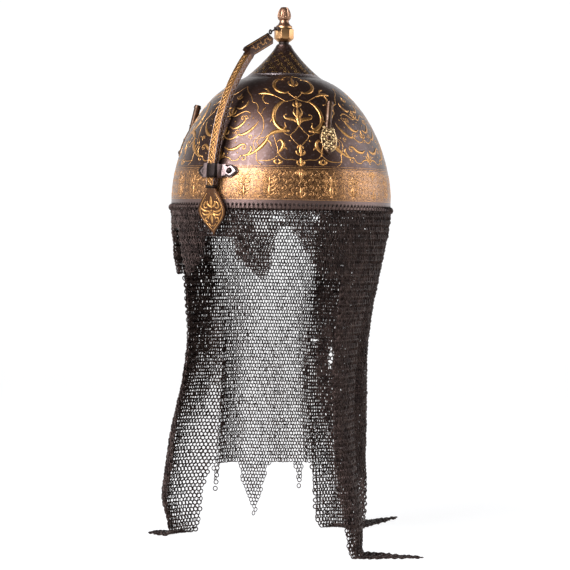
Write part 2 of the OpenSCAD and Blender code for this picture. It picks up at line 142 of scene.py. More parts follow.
def laid(name, parts, material, body):
    # parts are points and faces that already lie in their places, made into one piece
    piece = meshPiece(name, *joined(parts))
    dress(piece, material, body)


def copiesOf(piece, turns, places):
    # one mesh with a turned and moved copy of the piece's quads for each place
    points, faces = quadsOf(piece)
    every = np.einsum("vj,nij->nvi", points, turns) + places[:, None, :]
    steps = (np.arange(len(places)) * len(points))[:, None, None]
    return every.reshape(-1, 3), (faces[None] + steps).reshape(-1, 4)


def merged(name, nodeName, bevel=0.0, flat=3.0):
    # a copy of a construction node, its loose triangles merged and its edges broken
    piece = nodes[nodeName].copy()
    piece.data = nodes[nodeName].data.copy()
    piece.name = name
    piece.parent = None
    for key in list(piece.keys()):
        del piece[key]
    bpy.context.scene.collection.objects.link(piece)
    edit(piece)
    bpy.ops.mesh.remove_doubles(threshold=weld)
    bpy.ops.mesh.dissolve_limited(angle_limit=math.radians(flat))
    leave()
    if bevel:
        modify(piece, "BEVEL", width=bevel * mm, segments=2, limit_method="ANGLE",
               angle_limit=math.radians(30), harden_normals=False)
    smooth(piece)
    return piece


def turned(name, section, sides):
    # a lathe form: a circle is extruded and resized along the section's points, [radius, height]
    radius, height = section[0]
    pickNone()
    bpy.ops.mesh.primitive_circle_add(vertices=sides, radius=radius * mm, location=(0, 0, height * mm))
    piece = bpy.context.object
    piece.name = name
    settle(piece)
    edit(piece)
    for (r0, z0), (r1, z1) in zip(section, section[1:]):
        bpy.ops.mesh.extrude_region_move(TRANSFORM_OT_translate={"value": (0, 0, (z1 - z0) * mm)})
        if r1 != r0:
            size = max(r1, 0.0001) / r0
            bpy.ops.transform.resize(value=(size, size, 1), center_override=(0, 0, 0))
    bpy.ops.mesh.select_all(action="SELECT")
    bpy.ops.mesh.remove_doubles(threshold=weld)
    bpy.ops.mesh.normals_make_consistent(inside=False)
    leave()
    return piece


# Materials

def linear(code):
    parts = [int(code[i:i + 2], 16) / 255 for i in (1, 3, 5)]
    return [p / 12.92 if p <= 0.04045 else ((p + 0.055) / 1.055) ** 2.4 for p in parts] + [1.0]


def outputOf(source):
    # an output, or a node's first one in use
    return next(s for s in source.outputs if s.enabled) if isinstance(source, bpy.types.Node) else source


def add(tree, kind, inputs=None, **settings):
    # a node with its settings, and its inputs as numbers, colours, nodes or their outputs
    new = tree.nodes.new("ShaderNode" + kind)
    for name, value in settings.items():
        if name == "stops":
            while len(new.color_ramp.elements) < len(value):
                new.color_ramp.elements.new(1.0)
            for element, (place, colour) in zip(new.color_ramp.elements, value):
                element.position = place
                element.color = linear(colour) if isinstance(colour, str) else (colour, colour, colour, 1.0)
        else:
            setattr(new, name, value)
    for name, value in (inputs or {}).items():
        if isinstance(value, (bpy.types.Node, bpy.types.NodeSocket)):
            tree.links.new(outputOf(value), new.inputs[name])
        else:
            new.inputs[name].default_value = value
    return new


def started(name, **sockets):
    # a new material with its shader, and the Object coordinates that its patterns read
    material = bpy.data.materials.new(name)
    material.use_nodes = True
    tree = material.node_tree
    tree.nodes.clear()
    shader = add(tree, "BsdfPrincipled", sockets)
    add(tree, "OutputMaterial", {"Surface": shader})
    place = add(tree, "TexCoord").outputs["Object"]
    return material, tree, shader, place


def finished(made, colour, roughness, low, high, height, strength, depth):
    # the shader gets the colour, a roughness between two values, and a fine bump, its depth in millimetres
    material, tree, shader, place = made
    rough = add(tree, "MapRange", {"Value": roughness, "To Min": low, "To Max": high})
    bump = add(tree, "Bump", {"Strength": strength, "Distance": depth * mm, "Height": height})
    for name, source in (("Base Color", colour), ("Roughness", rough), ("Normal", bump)):
        tree.links.new(outputOf(source), shader.inputs[name])
    return material


def grain(size):
    # the scale of a noise whose features are this many millimetres across
    return 1000 / size


def russetSteelMaterial(name, dark, light, bare, band=None, strap=None, coat=0.0):
    # Forged steel, heated and rubbed brown, mottled and slightly pitted, under a thin film of oil and wax
    made = started(name, Metallic=0.9, **{"Coat Weight": coat, "Coat Roughness": 0.24})
    material, tree, shader, place = made
    cloud = add(tree, "TexNoise", {"Vector": place, "Scale": grain(26), "Detail": 5.0, "Roughness": 0.6})
    mottle = add(tree, "TexNoise", {"Vector": place, "Scale": grain(3.2), "Detail": 6.0, "Roughness": 0.65})
    pits = add(tree, "TexNoise", {"Vector": place, "Scale": grain(0.7), "Detail": 3.0})
    base = add(tree, "Mix", {0: cloud, 6: linear(dark), 7: linear(light)}, data_type="RGBA")
    rubbed = add(tree, "ValToRGB", {"Fac": mottle}, stops=[(0.54, 0.0), (0.84, 1.0)])
    worn = add(tree, "Mix", {0: rubbed, 6: base, 7: linear(bare)}, data_type="RGBA")
    speck = add(tree, "ValToRGB", {"Fac": pits}, stops=[(0.3, 0.6), (0.48, 1.0)])
    finish = add(tree, "Mix", {0: 1.0, 6: worn, 7: speck}, data_type="RGBA", blend_type="MULTIPLY")
    if band:
        # the finest gold scrolls of the band are drawn as one close pattern, 1.25 mm across so that it shows
        up = add(tree, "SeparateXYZ", {"Vector": place}).outputs["Z"]
        low, high, edge = band["low"] * mm, band["high"] * mm, 0.6 * mm
        inside = add(tree, "MapRange", {"Value": up, "From Min": low, "From Max": low + edge})
        under = add(tree, "MapRange", {"Value": up, "From Min": high, "From Max": high - edge})
        field = add(tree, "Math", {0: inside, 1: under}, operation="MULTIPLY")
        lace = add(tree, "TexNoise", {"Vector": place, "Scale": grain(band["lace"]), "Detail": 2.0,
                                      "Distortion": 1.6})
        thread = add(tree, "ValToRGB", {"Fac": lace},
                     stops=[(0.46, 0.0), (0.5, 1.0), (0.57, 1.0), (0.62, 0.0)])
        share = add(tree, "Math", {0: field, 1: thread}, operation="MULTIPLY")
        part = add(tree, "Math", {0: share, 1: band["share"]}, operation="MULTIPLY")
        cut = add(tree, "Math", {0: field, 1: 0.5}, operation="MULTIPLY")
        deep = add(tree, "Mix", {0: cut, 6: finish, 7: linear(band["deep"])}, data_type="RGBA")
        gilt = add(tree, "Mix", {0: part, 6: deep, 7: linear(band["gold"])}, data_type="RGBA")
        # the plain margin below the band is painted paler: a painted sheen
        plain = add(tree, "MapRange", {"Value": inside, "To Min": 0.6, "To Max": 0.0})
        finish = add(tree, "Mix", {0: plain, 6: gilt, 7: linear(band["margin"])}, data_type="RGBA")
    if strap:
        # the raised front of the strap is painted near black: painted shade
        axes = add(tree, "SeparateXYZ", {"Vector": place}).outputs
        front, left, edge = -strap["from"] * mm, strap["left"] * mm, 0.4 * mm
        raised = add(tree, "MapRange", {"Value": axes["Y"], "From Min": front, "From Max": front - edge})
        beside = add(tree, "MapRange", {"Value": axes["X"], "From Min": left - edge, "From Max": left})
        shade = add(tree, "Math", {0: raised, 1: beside}, operation="MULTIPLY")
        finish = add(tree, "Mix", {0: shade, 6: finish, 7: linear(strap["dark"])}, data_type="RGBA")
    height = add(tree, "Mix", {0: 0.35, 2: pits, 3: mottle})
    return finished(made, finish, mottle, 0.44, 0.3, height, 0.25, 0.3)


def goldMaterial(name, pale, deep, worn, wear, low=0.28, high=0.5, uneven=0.2):
    # Gold leaf hammered onto cut steel: warm, soft, thin in places so that brown shows through
    made = started(name, Metallic=1.0)
    material, tree, shader, place = made
    cloud = add(tree, "TexNoise", {"Vector": place, "Scale": grain(14), "Detail": 4.0})
    rub = add(tree, "TexNoise", {"Vector": place, "Scale": grain(1.1), "Detail": 5.0, "Roughness": 0.7})
    leaf = add(tree, "Mix", {0: cloud, 6: linear(deep), 7: linear(pale)}, data_type="RGBA")
    thin = add(tree, "ValToRGB", {"Fac": rub}, stops=[(wear - 0.1, 0.0), (wear + 0.06, 1.0)])
    colour = add(tree, "Mix", {0: thin, 6: leaf, 7: linear(worn)}, data_type="RGBA")
    return finished(made, colour, rub, low, high, rub, uneven, 0.1)


def ironMaterial(name, dark, light, low, high):
    # Iron left dark from the forge and handled since: nearly black, browner where it has rusted
    made = started(name, Metallic=0.85)
    material, tree, shader, place = made
    cloud = add(tree, "TexNoise", {"Vector": place, "Scale": grain(9), "Detail": 6.0, "Roughness": 0.7})
    pits = add(tree, "TexNoise", {"Vector": place, "Scale": grain(0.8), "Detail": 3.0})
    colour = add(tree, "ValToRGB", {"Fac": cloud}, stops=[(0.36, dark), (0.66, light)])
    return finished(made, colour, pits, low, high, pits, 0.3, 0.1)


# the band's gold lace, its darker cut ground, and the painted sheen on the plain margin below it
bandField = {"low": 8.6, "high": 36.6, "lace": 1.25, "share": 0.68, "gold": "#d69a60", "deep": "#2a1910",
             "margin": "#7e6861"}
russetSteel = russetSteelMaterial("russetSteel", "#38251e", "#563e34", "#7c6a68", bandField, coat=0.28)
nasalSteel = russetSteelMaterial("russetSteelNasal", "#442b1d", "#64452e", "#8a725c")
plateSteel = russetSteelMaterial("russetSteelPlate", "#2c1c16", "#432d22", "#66503f")
plumeSteel = russetSteelMaterial("russetSteelPlume", "#38281f", "#57402f", "#84705e")
overlaidGold = goldMaterial("overlaidGold", "#e6b16e", "#c38746", "#72502f", 0.58)
bandGold = goldMaterial("overlaidGoldRubbed", "#e8b47a", "#be8348", "#6a4830", 0.55)
dullGold = goldMaterial("overlaidGoldDull", "#a37e4a", "#70522c", "#3c2a1e", 0.5)
paleGold = goldMaterial("overlaidGoldPale", "#ecd0a0", "#bb9660", "#6a4c30", 0.6)
giltBrass = goldMaterial("giltBrass", "#cda173", "#9c6d40", "#7a532f", 0.8, 0.3, 0.4, 0.06)
budBrass = goldMaterial("giltBrassWorn", "#a8846c", "#7c5a43", "#5a3f2e", 0.76, 0.32, 0.44, 0.06)
wornSteel = russetSteelMaterial("wornBrightSteel", "#8a7a76", "#a89a96", "#c9c0bf")
# the bracket's bright steel, with painted shade on the strap's raised front
strapSteel = russetSteelMaterial("wornBrightSteelStrap", "#7d6863", "#9a8681", "#b8a9a5", None,
                                 {"from": 110.6, "left": -2.4, "dark": "#19120f"})
blackIron = ironMaterial("blackenedIron", "#1f1916", "#3d302a", 0.35, 0.6)
brownedWire = ironMaterial("brownedIronWire", "#261b18", "#4c3d37", 0.3, 0.5)
print("materials made")


# The skull's outline, from the rim to the land at the top of the spire

skullShape = {"rimRadius": 105, "marginHeight": 8, "domeHeight": 124, "spireRadius": 39.5, "landHeight": 157,
              "landRadius": 7.2, "shoulderLean": 21, "wall": 1.6, "landThickness": 6.5, "stemHole": 2.45,
              "brokenEdge": 0.35, "sides": 256, "holeCount": 160, "holeRadius": 1.1, "holeHeight": 3.6,
              "barClear": 2.8}


def bezier(a, b, c, d, steps):
    t = np.linspace(0, 1, steps + 1)[:, None]
    a, b, c, d = (np.array(p, float) for p in (a, b, c, d))
    return (1 - t) ** 3 * a + 3 * (1 - t) ** 2 * t * b + 3 * (1 - t) * t * t * c + t ** 3 * d


def skullOutline():
    s = skullShape
    lean = math.radians(s["shoulderLean"])
    along = Vector((math.cos(lean), -math.sin(lean)))
    shoulder = Vector((s["spireRadius"], s["domeHeight"]))
    dome = bezier((s["rimRadius"], s["marginHeight"]), (s["rimRadius"], s["marginHeight"] + 44),
                  shoulder + 43 * along, shoulder, 56)
    spire = bezier(shoulder, shoulder - 8.5 * along, (s["landRadius"] + 2.4, s["landHeight"] - 7),
                   (s["landRadius"], s["landHeight"]), 28)
    return np.vstack([[[s["rimRadius"], 0]], dome, spire[1:]])


outline = skullOutline()
outward = np.gradient(outline, axis=0)[:, ::-1] * (1, -1)
outward /= np.linalg.norm(outward, axis=1)[:, None]
outward[0] = outward[1] = (1, 0)


def onDome(flat, azimuth):
    # a flat drawing, [across, height, lift], laid on the skull with its middle at an azimuth
    across, height, lift = flat.T
    radius = np.interp(height, outline[:, 1], outline[:, 0])
    out = np.interp(height, outline[:, 1], outward[:, 0])
    up = np.interp(height, outline[:, 1], outward[:, 1])
    turn = math.radians(azimuth) + across / radius
    far = radius + lift * out
    return np.stack([far * np.sin(turn), -far * np.cos(turn), height + lift * up], 1) * mm


def holeAzimuths():
    # the holes of the rim, without those right behind the nasal's bar
    s = skullShape
    every = [(i + 0.5) * 360 / s["holeCount"] for i in range(s["holeCount"])]
    return [azimuth for azimuth in every if s["barClear"] < azimuth < 360 - s["barClear"]]


def makeSkull():
    s = skullShape
    seat = s["landHeight"] - s["landThickness"]
    inner = outline - s["wall"] * outward
    inner = inner[inner[:, 1] < seat]
    edge = s["brokenEdge"]
    section = [(s["rimRadius"] - edge, 0), (s["rimRadius"], edge)] + [tuple(p) for p in outline[1:]]
    section += [(s["stemHole"], s["landHeight"]), (s["stemHole"], seat), (inner[-1][0], seat)]
    section += [tuple(p) for p in inner[::-1] if p[1] > edge]
    section += [(s["rimRadius"] - s["wall"], edge), (s["rimRadius"] - s["wall"] + edge, 0),
                (s["rimRadius"] - edge, 0)]
    piece = turned("skullShell", section, s["sides"])
    pickNone()
    bpy.ops.mesh.primitive_cylinder_add(vertices=14, radius=s["holeRadius"] * mm, depth=3 * s["wall"] * mm,
                                        end_fill_type="NGON")
    drill = bpy.context.object
    drill.name = "rimDrill"
    drills = []
    for azimuth in holeAzimuths():
        copy = drill.copy()
        copy.data = drill.data.copy()
        turn = Matrix.Rotation(math.radians(azimuth), 4, "Z")
        place = Matrix.Translation((0, -s["rimRadius"] * mm, s["holeHeight"] * mm))
        copy.data.transform(turn @ place @ Matrix.Rotation(math.radians(90), 4, "X"))
        bpy.context.scene.collection.objects.link(copy)
        drills.append(copy)
    bpy.data.objects.remove(drill)
    pickNone()
    for copy in drills:
        copy.select_set(True)
    bpy.context.view_layer.objects.active = drills[0]
    bpy.ops.object.join()
    modify(piece, "BOOLEAN", operation="DIFFERENCE", object=drills[0], solver="EXACT")
    bpy.data.objects.remove(drills[0])
    smooth(piece, 30)
    dress(piece, russetSteel, "helmet")
    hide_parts("skull")


makeSkull()
print("skull made")


# Flat drawings in millimetres, made of quads: gold strokes with a soft ridge

def smoothLine(points, steps):
    # a smooth curve through points of [across, height, width]
    p = np.array(points, float)
    p = np.vstack([2 * p[0] - p[1], p, 2 * p[-1] - p[-2]])
    t = np.linspace(0, 1, steps, endpoint=False)[:, None]
    spans = []
    for a, b, c, d in zip(p, p[1:], p[2:], p[3:]):
        spans.append(0.5 * (2 * b + (c - a) * t + (2 * a - 5 * b + 4 * c - d) * t * t
                            + (3 * b - a - 3 * c + d) * t ** 3))
    return np.vstack(spans + [p[-2:-1]])


# how gold lines and beads stand on a surface
goldLine = {"fuller": 1.2, "thinnest": 0.16, "edgeSunk": 0.03, "footSunk": 0.2}


def stroke(points, steps=5, relief=0.1):
    # a line with a ridge along its middle, its edges sunk a little into what it lies on
    g = goldLine
    line = smoothLine(points, steps)
    middle, width = line[:, :2], np.maximum(line[:, 2:] * g["fuller"], g["thinnest"])
    along = np.gradient(middle, axis=0)
    along /= np.maximum(np.linalg.norm(along, axis=1), 1e-9)[:, None]
    side = np.stack([-along[:, 1], along[:, 0]], 1) * width / 2
    ridge = relief * np.minimum(1, width / 1.0)
    low = np.full_like(width, -g["edgeSunk"])
    rings = [np.hstack([middle + side, low]), np.hstack([middle, ridge]), np.hstack([middle - side, low]),
             np.hstack([middle, low - g["footSunk"]])]
    points = np.stack(rings, 1).reshape(-1, 3)
    start = np.arange(len(line) - 1)[:, None] * 4
    faces = [start + (i, (i + 1) % 4, 4 + (i + 1) % 4, 4 + i) for i in range(4)]
    last = 4 * (len(line) - 1)
    faces += [np.array([[3, 2, 1, 0]]), np.array([[0, 1, 2, 3]]) + last]
    return points, np.vstack(faces)


def dot(x, z, radius, relief=0.2):
    # a low eight-sided bead
    turn = np.radians(np.arange(0, 360, 45))
    edge = np.full(8, -goldLine["edgeSunk"])
    rim = np.stack([x + radius * np.cos(turn), z + radius * np.sin(turn), edge], 1)
    points = np.vstack([[[x, z, relief]], rim, [[x, z, -0.25]]])
    faces = [[0, 1 + i, 2 + i, 1 + (i + 2) % 8] for i in range(0, 8, 2)]
    faces += [[9, 1 + (i + 2) % 8, 2 + i, 1 + i] for i in range(0, 8, 2)]
    return points, np.array(faces)


def joined(drawings):
    points, faces, count = [], [], 0
    for p, f in drawings:
        points.append(p)
        faces.append(f + count)
        count += len(p)
    return np.vstack(points), np.vstack(faces)


def mirrored(drawing):
    points, faces = drawing
    return points * (-1, 1, 1), faces[:, ::-1]


def moved(drawing, x, z, angle=0.0):
    points, faces = drawing
    a = math.radians(angle)
    flat = points[:, :2] @ np.array([[math.cos(a), math.sin(a)], [-math.sin(a), math.cos(a)]])
    return np.hstack([flat + (x, z), points[:, 2:]]), faces


def tendril(x, z, angle, size, turns, side, width):
    # a spiral that starts at a point in a direction and winds in to a bead
    count = max(6, int(turns * 7))
    t = np.linspace(0, 1, count)
    radius = size * (1 - t) ** 0.8 * 0.96 + size * 0.04
    start = math.radians(angle) - side * math.pi / 2
    turn = start + side * t * turns * 2 * math.pi
    middle = np.array([x, z]) - size * np.array([math.cos(start), math.sin(start)])
    points = [(middle[0] + r * math.cos(a), middle[1] + r * math.sin(a), width * (1 - 0.35 * k))
              for r, a, k in zip(radius, turn, t)]
    return [stroke(points, 2), dot(points[-1][0], points[-1][1], width * 0.95)]


def trefoil(size):
    # a small palmette, standing on its foot at 0, 0: a full middle leaf and two that curl out and back
    s = size
    half = stroke([(0.03 * s, 0.04 * s, 0.08 * s), (0.2 * s, 0.1 * s, 0.2 * s), (0.4 * s, 0.26 * s, 0.26 * s),
                   (0.46 * s, 0.46 * s, 0.16 * s), (0.34 * s, 0.56 * s, 0.05 * s)], 4)
    middle = stroke([(0, 0, 0.1 * s), (0, 0.2 * s, 0.2 * s), (0, 0.46 * s, 0.4 * s), (0, 0.7 * s, 0.3 * s),
                     (0, s, 0.04 * s)], 4)
    return joined([half, mirrored(half), middle, dot(0, 0, 0.12 * s)])


def splitLeaf(size, side=1):
    # a curled half palmette: a full back, a pointed tip and one small lobe
    s = size
    back = stroke([(0, 0, 0.06 * s), (0.2 * s, 0.14 * s, 0.2 * s), (0.52 * s, 0.16 * s, 0.3 * s),
                   (0.84 * s, 0.02 * s, 0.18 * s), (s, -0.24 * s, 0.03 * s)])
    lobe = stroke([(0.34 * s, 0.14 * s, 0.14 * s), (0.44 * s, 0.34 * s, 0.16 * s),
                   (0.62 * s, 0.42 * s, 0.04 * s)], 4)
    leaf = joined([back, lobe])
    return leaf if side > 0 else (leaf[0] * (1, -1, 1), leaf[1][:, ::-1])


def ground(name, drawings, material):
    # drawings are laid on the skull at azimuths, as one piece
    parts = [(onDome(points, azimuth), faces) for (points, faces), azimuth in drawings]
    laid(name, parts, material, "helmet")


# The arabesque of the four columns, drawn for the right half of one column

def columnHalf():
    lines = [
        # the crescent leaves at the top and the stems that cross under them
        [(8.5, 121, 0.6), (15, 120, 1.8), (18.5, 114.5, 2.7), (15.5, 109.5, 2.6), (9.5, 107.6, 1.6),
         (6.5, 108.4, 0.8)],
        [(7, 108.2, 0.8), (2.6, 104, 0.8), (-3, 100.8, 0.8), (-9, 99, 0.6)],
        [(11, 120.6, 0.4), (6, 123.6, 0.7), (1, 124.2, 0.5)],
        # the arm of the lotus
        [(1.6, 79.5, 1.6), (4.5, 82, 2.8), (8.5, 82.6, 2.4), (12, 83.4, 1.5), (13, 85.6, 0.9),
         (11.2, 86.6, 0.5)],
        [(1, 84, 1), (3.4, 87.5, 1.6), (3.8, 90.5, 0.9), (2.6, 93, 0.3)],
        # the great C leaf with its cusp and its heel
        [(8, 99.4, 0.5), (13, 98.6, 1.5), (18.8, 94, 2.6), (22.4, 87, 3.1), (22.2, 79.6, 3.2),
         (18.4, 74.2, 3.4), (13.4, 71.6, 3.6), (10.4, 71.2, 1)],
        [(22.8, 82.4, 1.4), (25.4, 80.6, 1), (26.2, 78.6, 0.3)],
        [(14, 73, 1.4), (12.2, 75.6, 1.2), (13, 78, 0.4)],
        # the leaf that leaves the heel, and the long leaf below it
        [(12.6, 70.8, 1.6), (18.5, 71.2, 3.2), (24.4, 69.4, 2.8), (29, 66.4, 1.2), (32, 64.6, 0.7)],
        [(32, 64.6, 0.7), (36.6, 64, 0.8), (39.6, 60.6, 0.9), (38.4, 57.8, 0.5)],
        [(28.2, 67, 0.8), (31, 61.6, 2.8), (36, 56.2, 3.2), (42.6, 51.2, 1.8), (50, 47.4, 0.4)],
        [(30.4, 62.8, 1), (27.4, 60.4, 1.2), (26.6, 57.6, 0.4)],
        # the ogee of thin stems under the lotus
        [(0.2, 76.2, 0.9), (4, 71.2, 0.8), (8.4, 66.8, 0.8), (4.8, 61.4, 0.8), (0.4, 57, 0.8)],
        [(8.4, 66.8, 0.7), (11.6, 67.8, 0.8), (14.6, 69.4, 0.7)],
        # the half palmette inside the lower scroll
        [(21.6, 50.2, 0.8), (17.4, 54, 2.2), (15.4, 59, 2.8), (17.6, 62.6, 1.8), (20.4, 61.4, 0.8)],
        [(17, 55.4, 1.2), (13.6, 55.6, 1.3), (12.2, 53.6, 0.4)],
        # the thin stem down to the low palmettes
        [(24.4, 68.6, 0.7), (22.6, 62, 0.8), (21.2, 56, 0.8), (19.6, 49.4, 0.8), (14.6, 45, 0.8),
         (7.2, 44.8, 0.8), (0, 43, 0.7)],
        [(19.6, 49.4, 0.7), (26, 44.6, 0.9), (33, 43.4, 0.9), (40, 43.8, 0.6)],
        [(21, 40.2, 0.6), (18.2, 42.6, 2.4), (20.8, 45.2, 0.8)],
        [(21, 40.2, 0.6), (24, 42.6, 2.2), (22, 45, 0.6)],
        # the sprig beside the crossing stems
        [(9.6, 98.8, 0.6), (14.8, 102, 0.7), (19.8, 104.6, 0.8)],
        [(19, 104.4, 1), (24.4, 106.6, 2.4), (29.6, 107, 2.2), (33.8, 106.4, 0.8)],
        [(24, 106, 0.8), (25, 110.4, 1.6), (28.4, 111.4, 0.4)],
        [(28.6, 106.2, 0.8), (31, 102.4, 1.4), (29.4, 97.6, 1), (26.8, 97, 0.4)],
        [(28.8, 93.2, 0.5), (31.8, 90.4, 0.9), (33.6, 86.8, 0.5)],
    ]
    beads = [(6.4, 108.4, 1.1), (11, 86.6, 1.2), (9.3, 62.2, 1.2), (38.4, 57.6, 1.2), (20.6, 61.2, 1.1),
             (26.4, 57.2, 0.9), (33.8, 106.4, 1.1), (26.6, 96.8, 1), (10.2, 71.2, 1.7), (12.8, 78.4, 0.9),
             (40.4, 43.8, 1), (8.6, 121, 0.9)]
    # the leaves are fuller than the stems
    fuller = [[(x, z, width * 1.35 if width > 1 else width) for x, z, width in line] for line in lines]
    return [stroke(line) for line in fuller] + [dot(*bead) for bead in beads]


def columnMiddle():
    lotus = stroke([(0, 76, 0.8), (0, 79.4, 4.8), (0, 84, 6.4), (0, 88.4, 3.4), (0, 94.4, 0.3)])
    return [lotus, moved(trefoil(7.6), 0, 93.6), moved(trefoil(9), 0, 114.2), moved(trefoil(8.4), 0, 48.6),
            moved(trefoil(6), 0, 58, 180), moved(trefoil(7.5), 0, 39.4), dot(0, 97.2, 0.8), dot(0, 104, 0.9)]


def cartoucheEdge():
    # the lobed line round a cartouche, its right half
    half = [(0, 114, 0.8), (2.6, 111, 0.8), (6, 108, 0.8), (10.4, 105.2, 0.8), (14, 101.4, 0.8),
            (16.6, 98.2, 0.8), (20.6, 97, 0.8), (24.4, 93.4, 0.9), (25.6, 89.6, 0.8), (29, 86.8, 0.8),
            (33.4, 82.6, 0.9), (36.4, 76.4, 0.9), (37, 70.4, 0.9), (35.6, 65.6, 0.8), (32.6, 63, 0.7),
            (31.6, 59.6, 0.7), (33.6, 55, 0.8), (36.6, 50.6, 0.8), (37.4, 46, 0.8), (39.6, 42, 0.8),
            (43.6, 39.6, 0.7)]
    return [stroke(half, 4)]


def cartoucheHalf():
    # foliage in three tiers, with bold leaves and fine tendrils
    lines = [
        [(0, 44, 0.8), (4.4, 46.6, 1.2), (9.6, 46, 1), (14, 43.4, 0.8), (19.4, 44, 1), (22.6, 48.6, 0.9)],
        [(3, 56, 0.8), (8.6, 53.4, 2.2), (15, 54.4, 3), (20.6, 58.2, 2), (24.6, 58, 0.5)],
        [(0, 66, 0.8), (5, 63.2, 1), (11, 64.2, 1.2), (15.4, 68.4, 0.9)],
        [(14, 67, 0.8), (19.6, 67.6, 2.6), (25.4, 71.4, 2.9), (29.6, 77.4, 1.2), (29.8, 80.6, 0.4)],
        [(3.2, 75, 0.8), (8.4, 73.2, 2), (13.8, 75.6, 3), (17, 80.6, 1.8), (15.6, 84.4, 0.5)],
        [(0, 86, 0.8), (4.6, 84.6, 1), (9.4, 87.6, 1), (14.6, 89.4, 0.9), (19.4, 87.4, 0.8)],
        [(2.6, 93, 0.6), (7.4, 92.2, 2), (11.4, 95.6, 2.2), (11.6, 99.8, 0.5)],
        [(24, 47.6, 0.8), (29, 49.4, 2.2), (31, 54.2, 1.6), (28.8, 57, 0.5)],
    ]
    drawings = [stroke([(x, z, width * 1.25) for x, z, width in line]) for line in lines]
    for x, z, angle, size, side in ((22, 47, 60, 3.4, -1), (24, 58, -20, 2.6, -1), (15, 68, 70, 3, 1),
                                    (19, 87, -30, 3.2, -1), (16, 84, 120, 2.4, 1), (27, 62.5, 10, 2.6, 1)):
        drawings += tendril(x, z, angle, size, 1.1, side, 0.95)
    beads = [(8, 50, 1), (18, 50.4, 0.9), (8.4, 69, 1), (21.6, 76.6, 1), (7, 79.6, 0.9), (14, 60, 0.9),
             (24, 83, 0.9), (6, 98.4, 0.8), (31.6, 66, 0.9)]
    return drawings + [dot(*bead) for bead in beads]


def cartoucheMiddle():
    return [moved(trefoil(size), 0, z) for size, z in ((9, 46), (8, 67), (8, 86), (6, 101))] + [
        dot(0, 43, 1), dot(0, 63.4, 0.9), dot(0, 82.4, 0.9)]


def makeArabesque():
    halves = joined(columnHalf())
    column = joined([halves, mirrored(halves)] + columnMiddle())
    edges = joined(cartoucheEdge())
    foliage = joined(cartoucheHalf())
    cartouche = joined([edges, mirrored(edges), foliage, mirrored(foliage)] + cartoucheMiddle())
    for name, drawing, start in (("domeArabesque", column, 45), ("domeCartouches", cartouche, 0)):
        ground(name, [(drawing, start + i * 90) for i in range(4)], overlaidGold)


def ringLine(height, width):
    # a thin line all round the skull
    radius = float(np.interp(height, outline[:, 1], outline[:, 0]))
    turn = np.linspace(-math.pi * radius, math.pi * radius, 181)
    return stroke([(x, height, width) for x in turn[::4]], 4)


bandShape = {"low": 9.4, "tiles": 8, "vase": 12, "scroll": 2.7, "scrollPitch": 6.2, "rowPitch": 6.4}


def bandTile():
    # one eighth of the band: a pair of palmettes at its ends, two vases with flowers and close scrolls
    b = bandShape
    width = math.pi * 2 * skullShape["rimRadius"] / b["tiles"]
    drawings = []
    for x in (-width / 2, width / 2):
        drawings += [moved(trefoil(8.4), x, 10.4), moved(trefoil(8.4), x, 35.4, 180)]
    flowers = [(12.4, 4.6, 1.5), (16, 5.6, 1.7), (19.8, 4.8, 1.5), (23.4, 6, 1.8), (27, 5, 1.6),
               (30.2, 3.6, 1.4)]
    for x in (-b["vase"], b["vase"]):
        drawings.append(stroke([(x, 10.2, 3.4), (x, 12, 1.2), (x, 15, 5), (x, 19, 3.4), (x, 20.6, 1.6),
                                (x, 22, 3.6)], 3, 0.16))
        for side in (-1, 1):
            for z, reach, full in flowers:
                leaf = [(x + side * 0.8, z, 0.6), (x + side * reach * 0.6, z + 0.6, full),
                        (x + side * reach, z + 2.2, full * 0.8), (x + side * reach * 0.8, z + 3.8, 0.3)]
                drawings += [stroke(leaf, 3, 0.16), dot(x + side * (reach + 0.9), z + 3.6, 0.6)]
        drawings.append(moved(trefoil(8), x, 22.6))
    columnsAcross = int(width // b["scrollPitch"])
    for i in range(columnsAcross):
        for j in range(4):
            x = (i + 0.5) * width / columnsAcross - width / 2
            z = b["low"] + 3.6 + j * b["rowPitch"] + (0.8 if i % 2 else -0.4)
            # the scrolls leave room for the vases and for the palmettes
            if abs(abs(x) - b["vase"]) < 6.4 or abs(abs(x) - width / 2) < 4.4 and abs(z - 22.8) > 5:
                continue
            side = 1 if (i + j) % 2 else -1
            drawings += tendril(x, z + side * b["scroll"], 0, b["scroll"], 1.15, -side, 0.62)
            drawings.append(moved(splitLeaf(2.9, side), x - 2.4, z - side * 1.4, 20 * side))
            drawings.append(moved(splitLeaf(2.4, -side), x + 1.6, z + side * 2.2, -50 * side))
    return joined(drawings)


def makeBand():
    tile = bandTile()
    step = 360 / bandShape["tiles"]
    tiles = [(tile, (i + 0.5) * step) for i in range(bandShape["tiles"])]
    ground("bandScrollwork", tiles, bandGold)
    for name, lines, material in (("bandLines", ((8.4, 0.7), (37.3, 0.8), (38.9, 0.5)), bandGold),
                                  ("spireLines", ((126.4, 0.5), (127.8, 0.7)), wornSteel)):
        ground(name, [(ringLine(*line), 0) for line in lines], material)


def makeSpireSprigs():
    # close flower sprigs with curled stems in rings up the spire
    rows = [(129, 18, 5.2), (133.2, 16, 4.8), (137.2, 14, 4.4), (141, 12, 4), (144.6, 10, 3.6), (148, 8, 3.2)]
    drawings = []
    for row, (height, count, size) in enumerate(rows):
        stem = [(-0.5 * size, 0.1, 0.3), (-0.3 * size, -0.16 * size, 0.5), (0, 0, 0.5),
                (0.3 * size, 0.16 * size, 0.5), (0.5 * size, 0, 0.3)]
        sprig = [trefoil(size), stroke(stem, 3)]
        for side in (-1, 1):
            sprig += tendril(side * 0.3 * size, 0.1 * size, 90 - side * 50, 0.26 * size, 1.1, -side, 0.5)
        sprig = joined(sprig)
        for i in range(count):
            drawings.append((moved(sprig, 0, height), (i + 0.5 * (row % 2)) * 360 / count))
    ground("spireSprigs", drawings, dullGold)


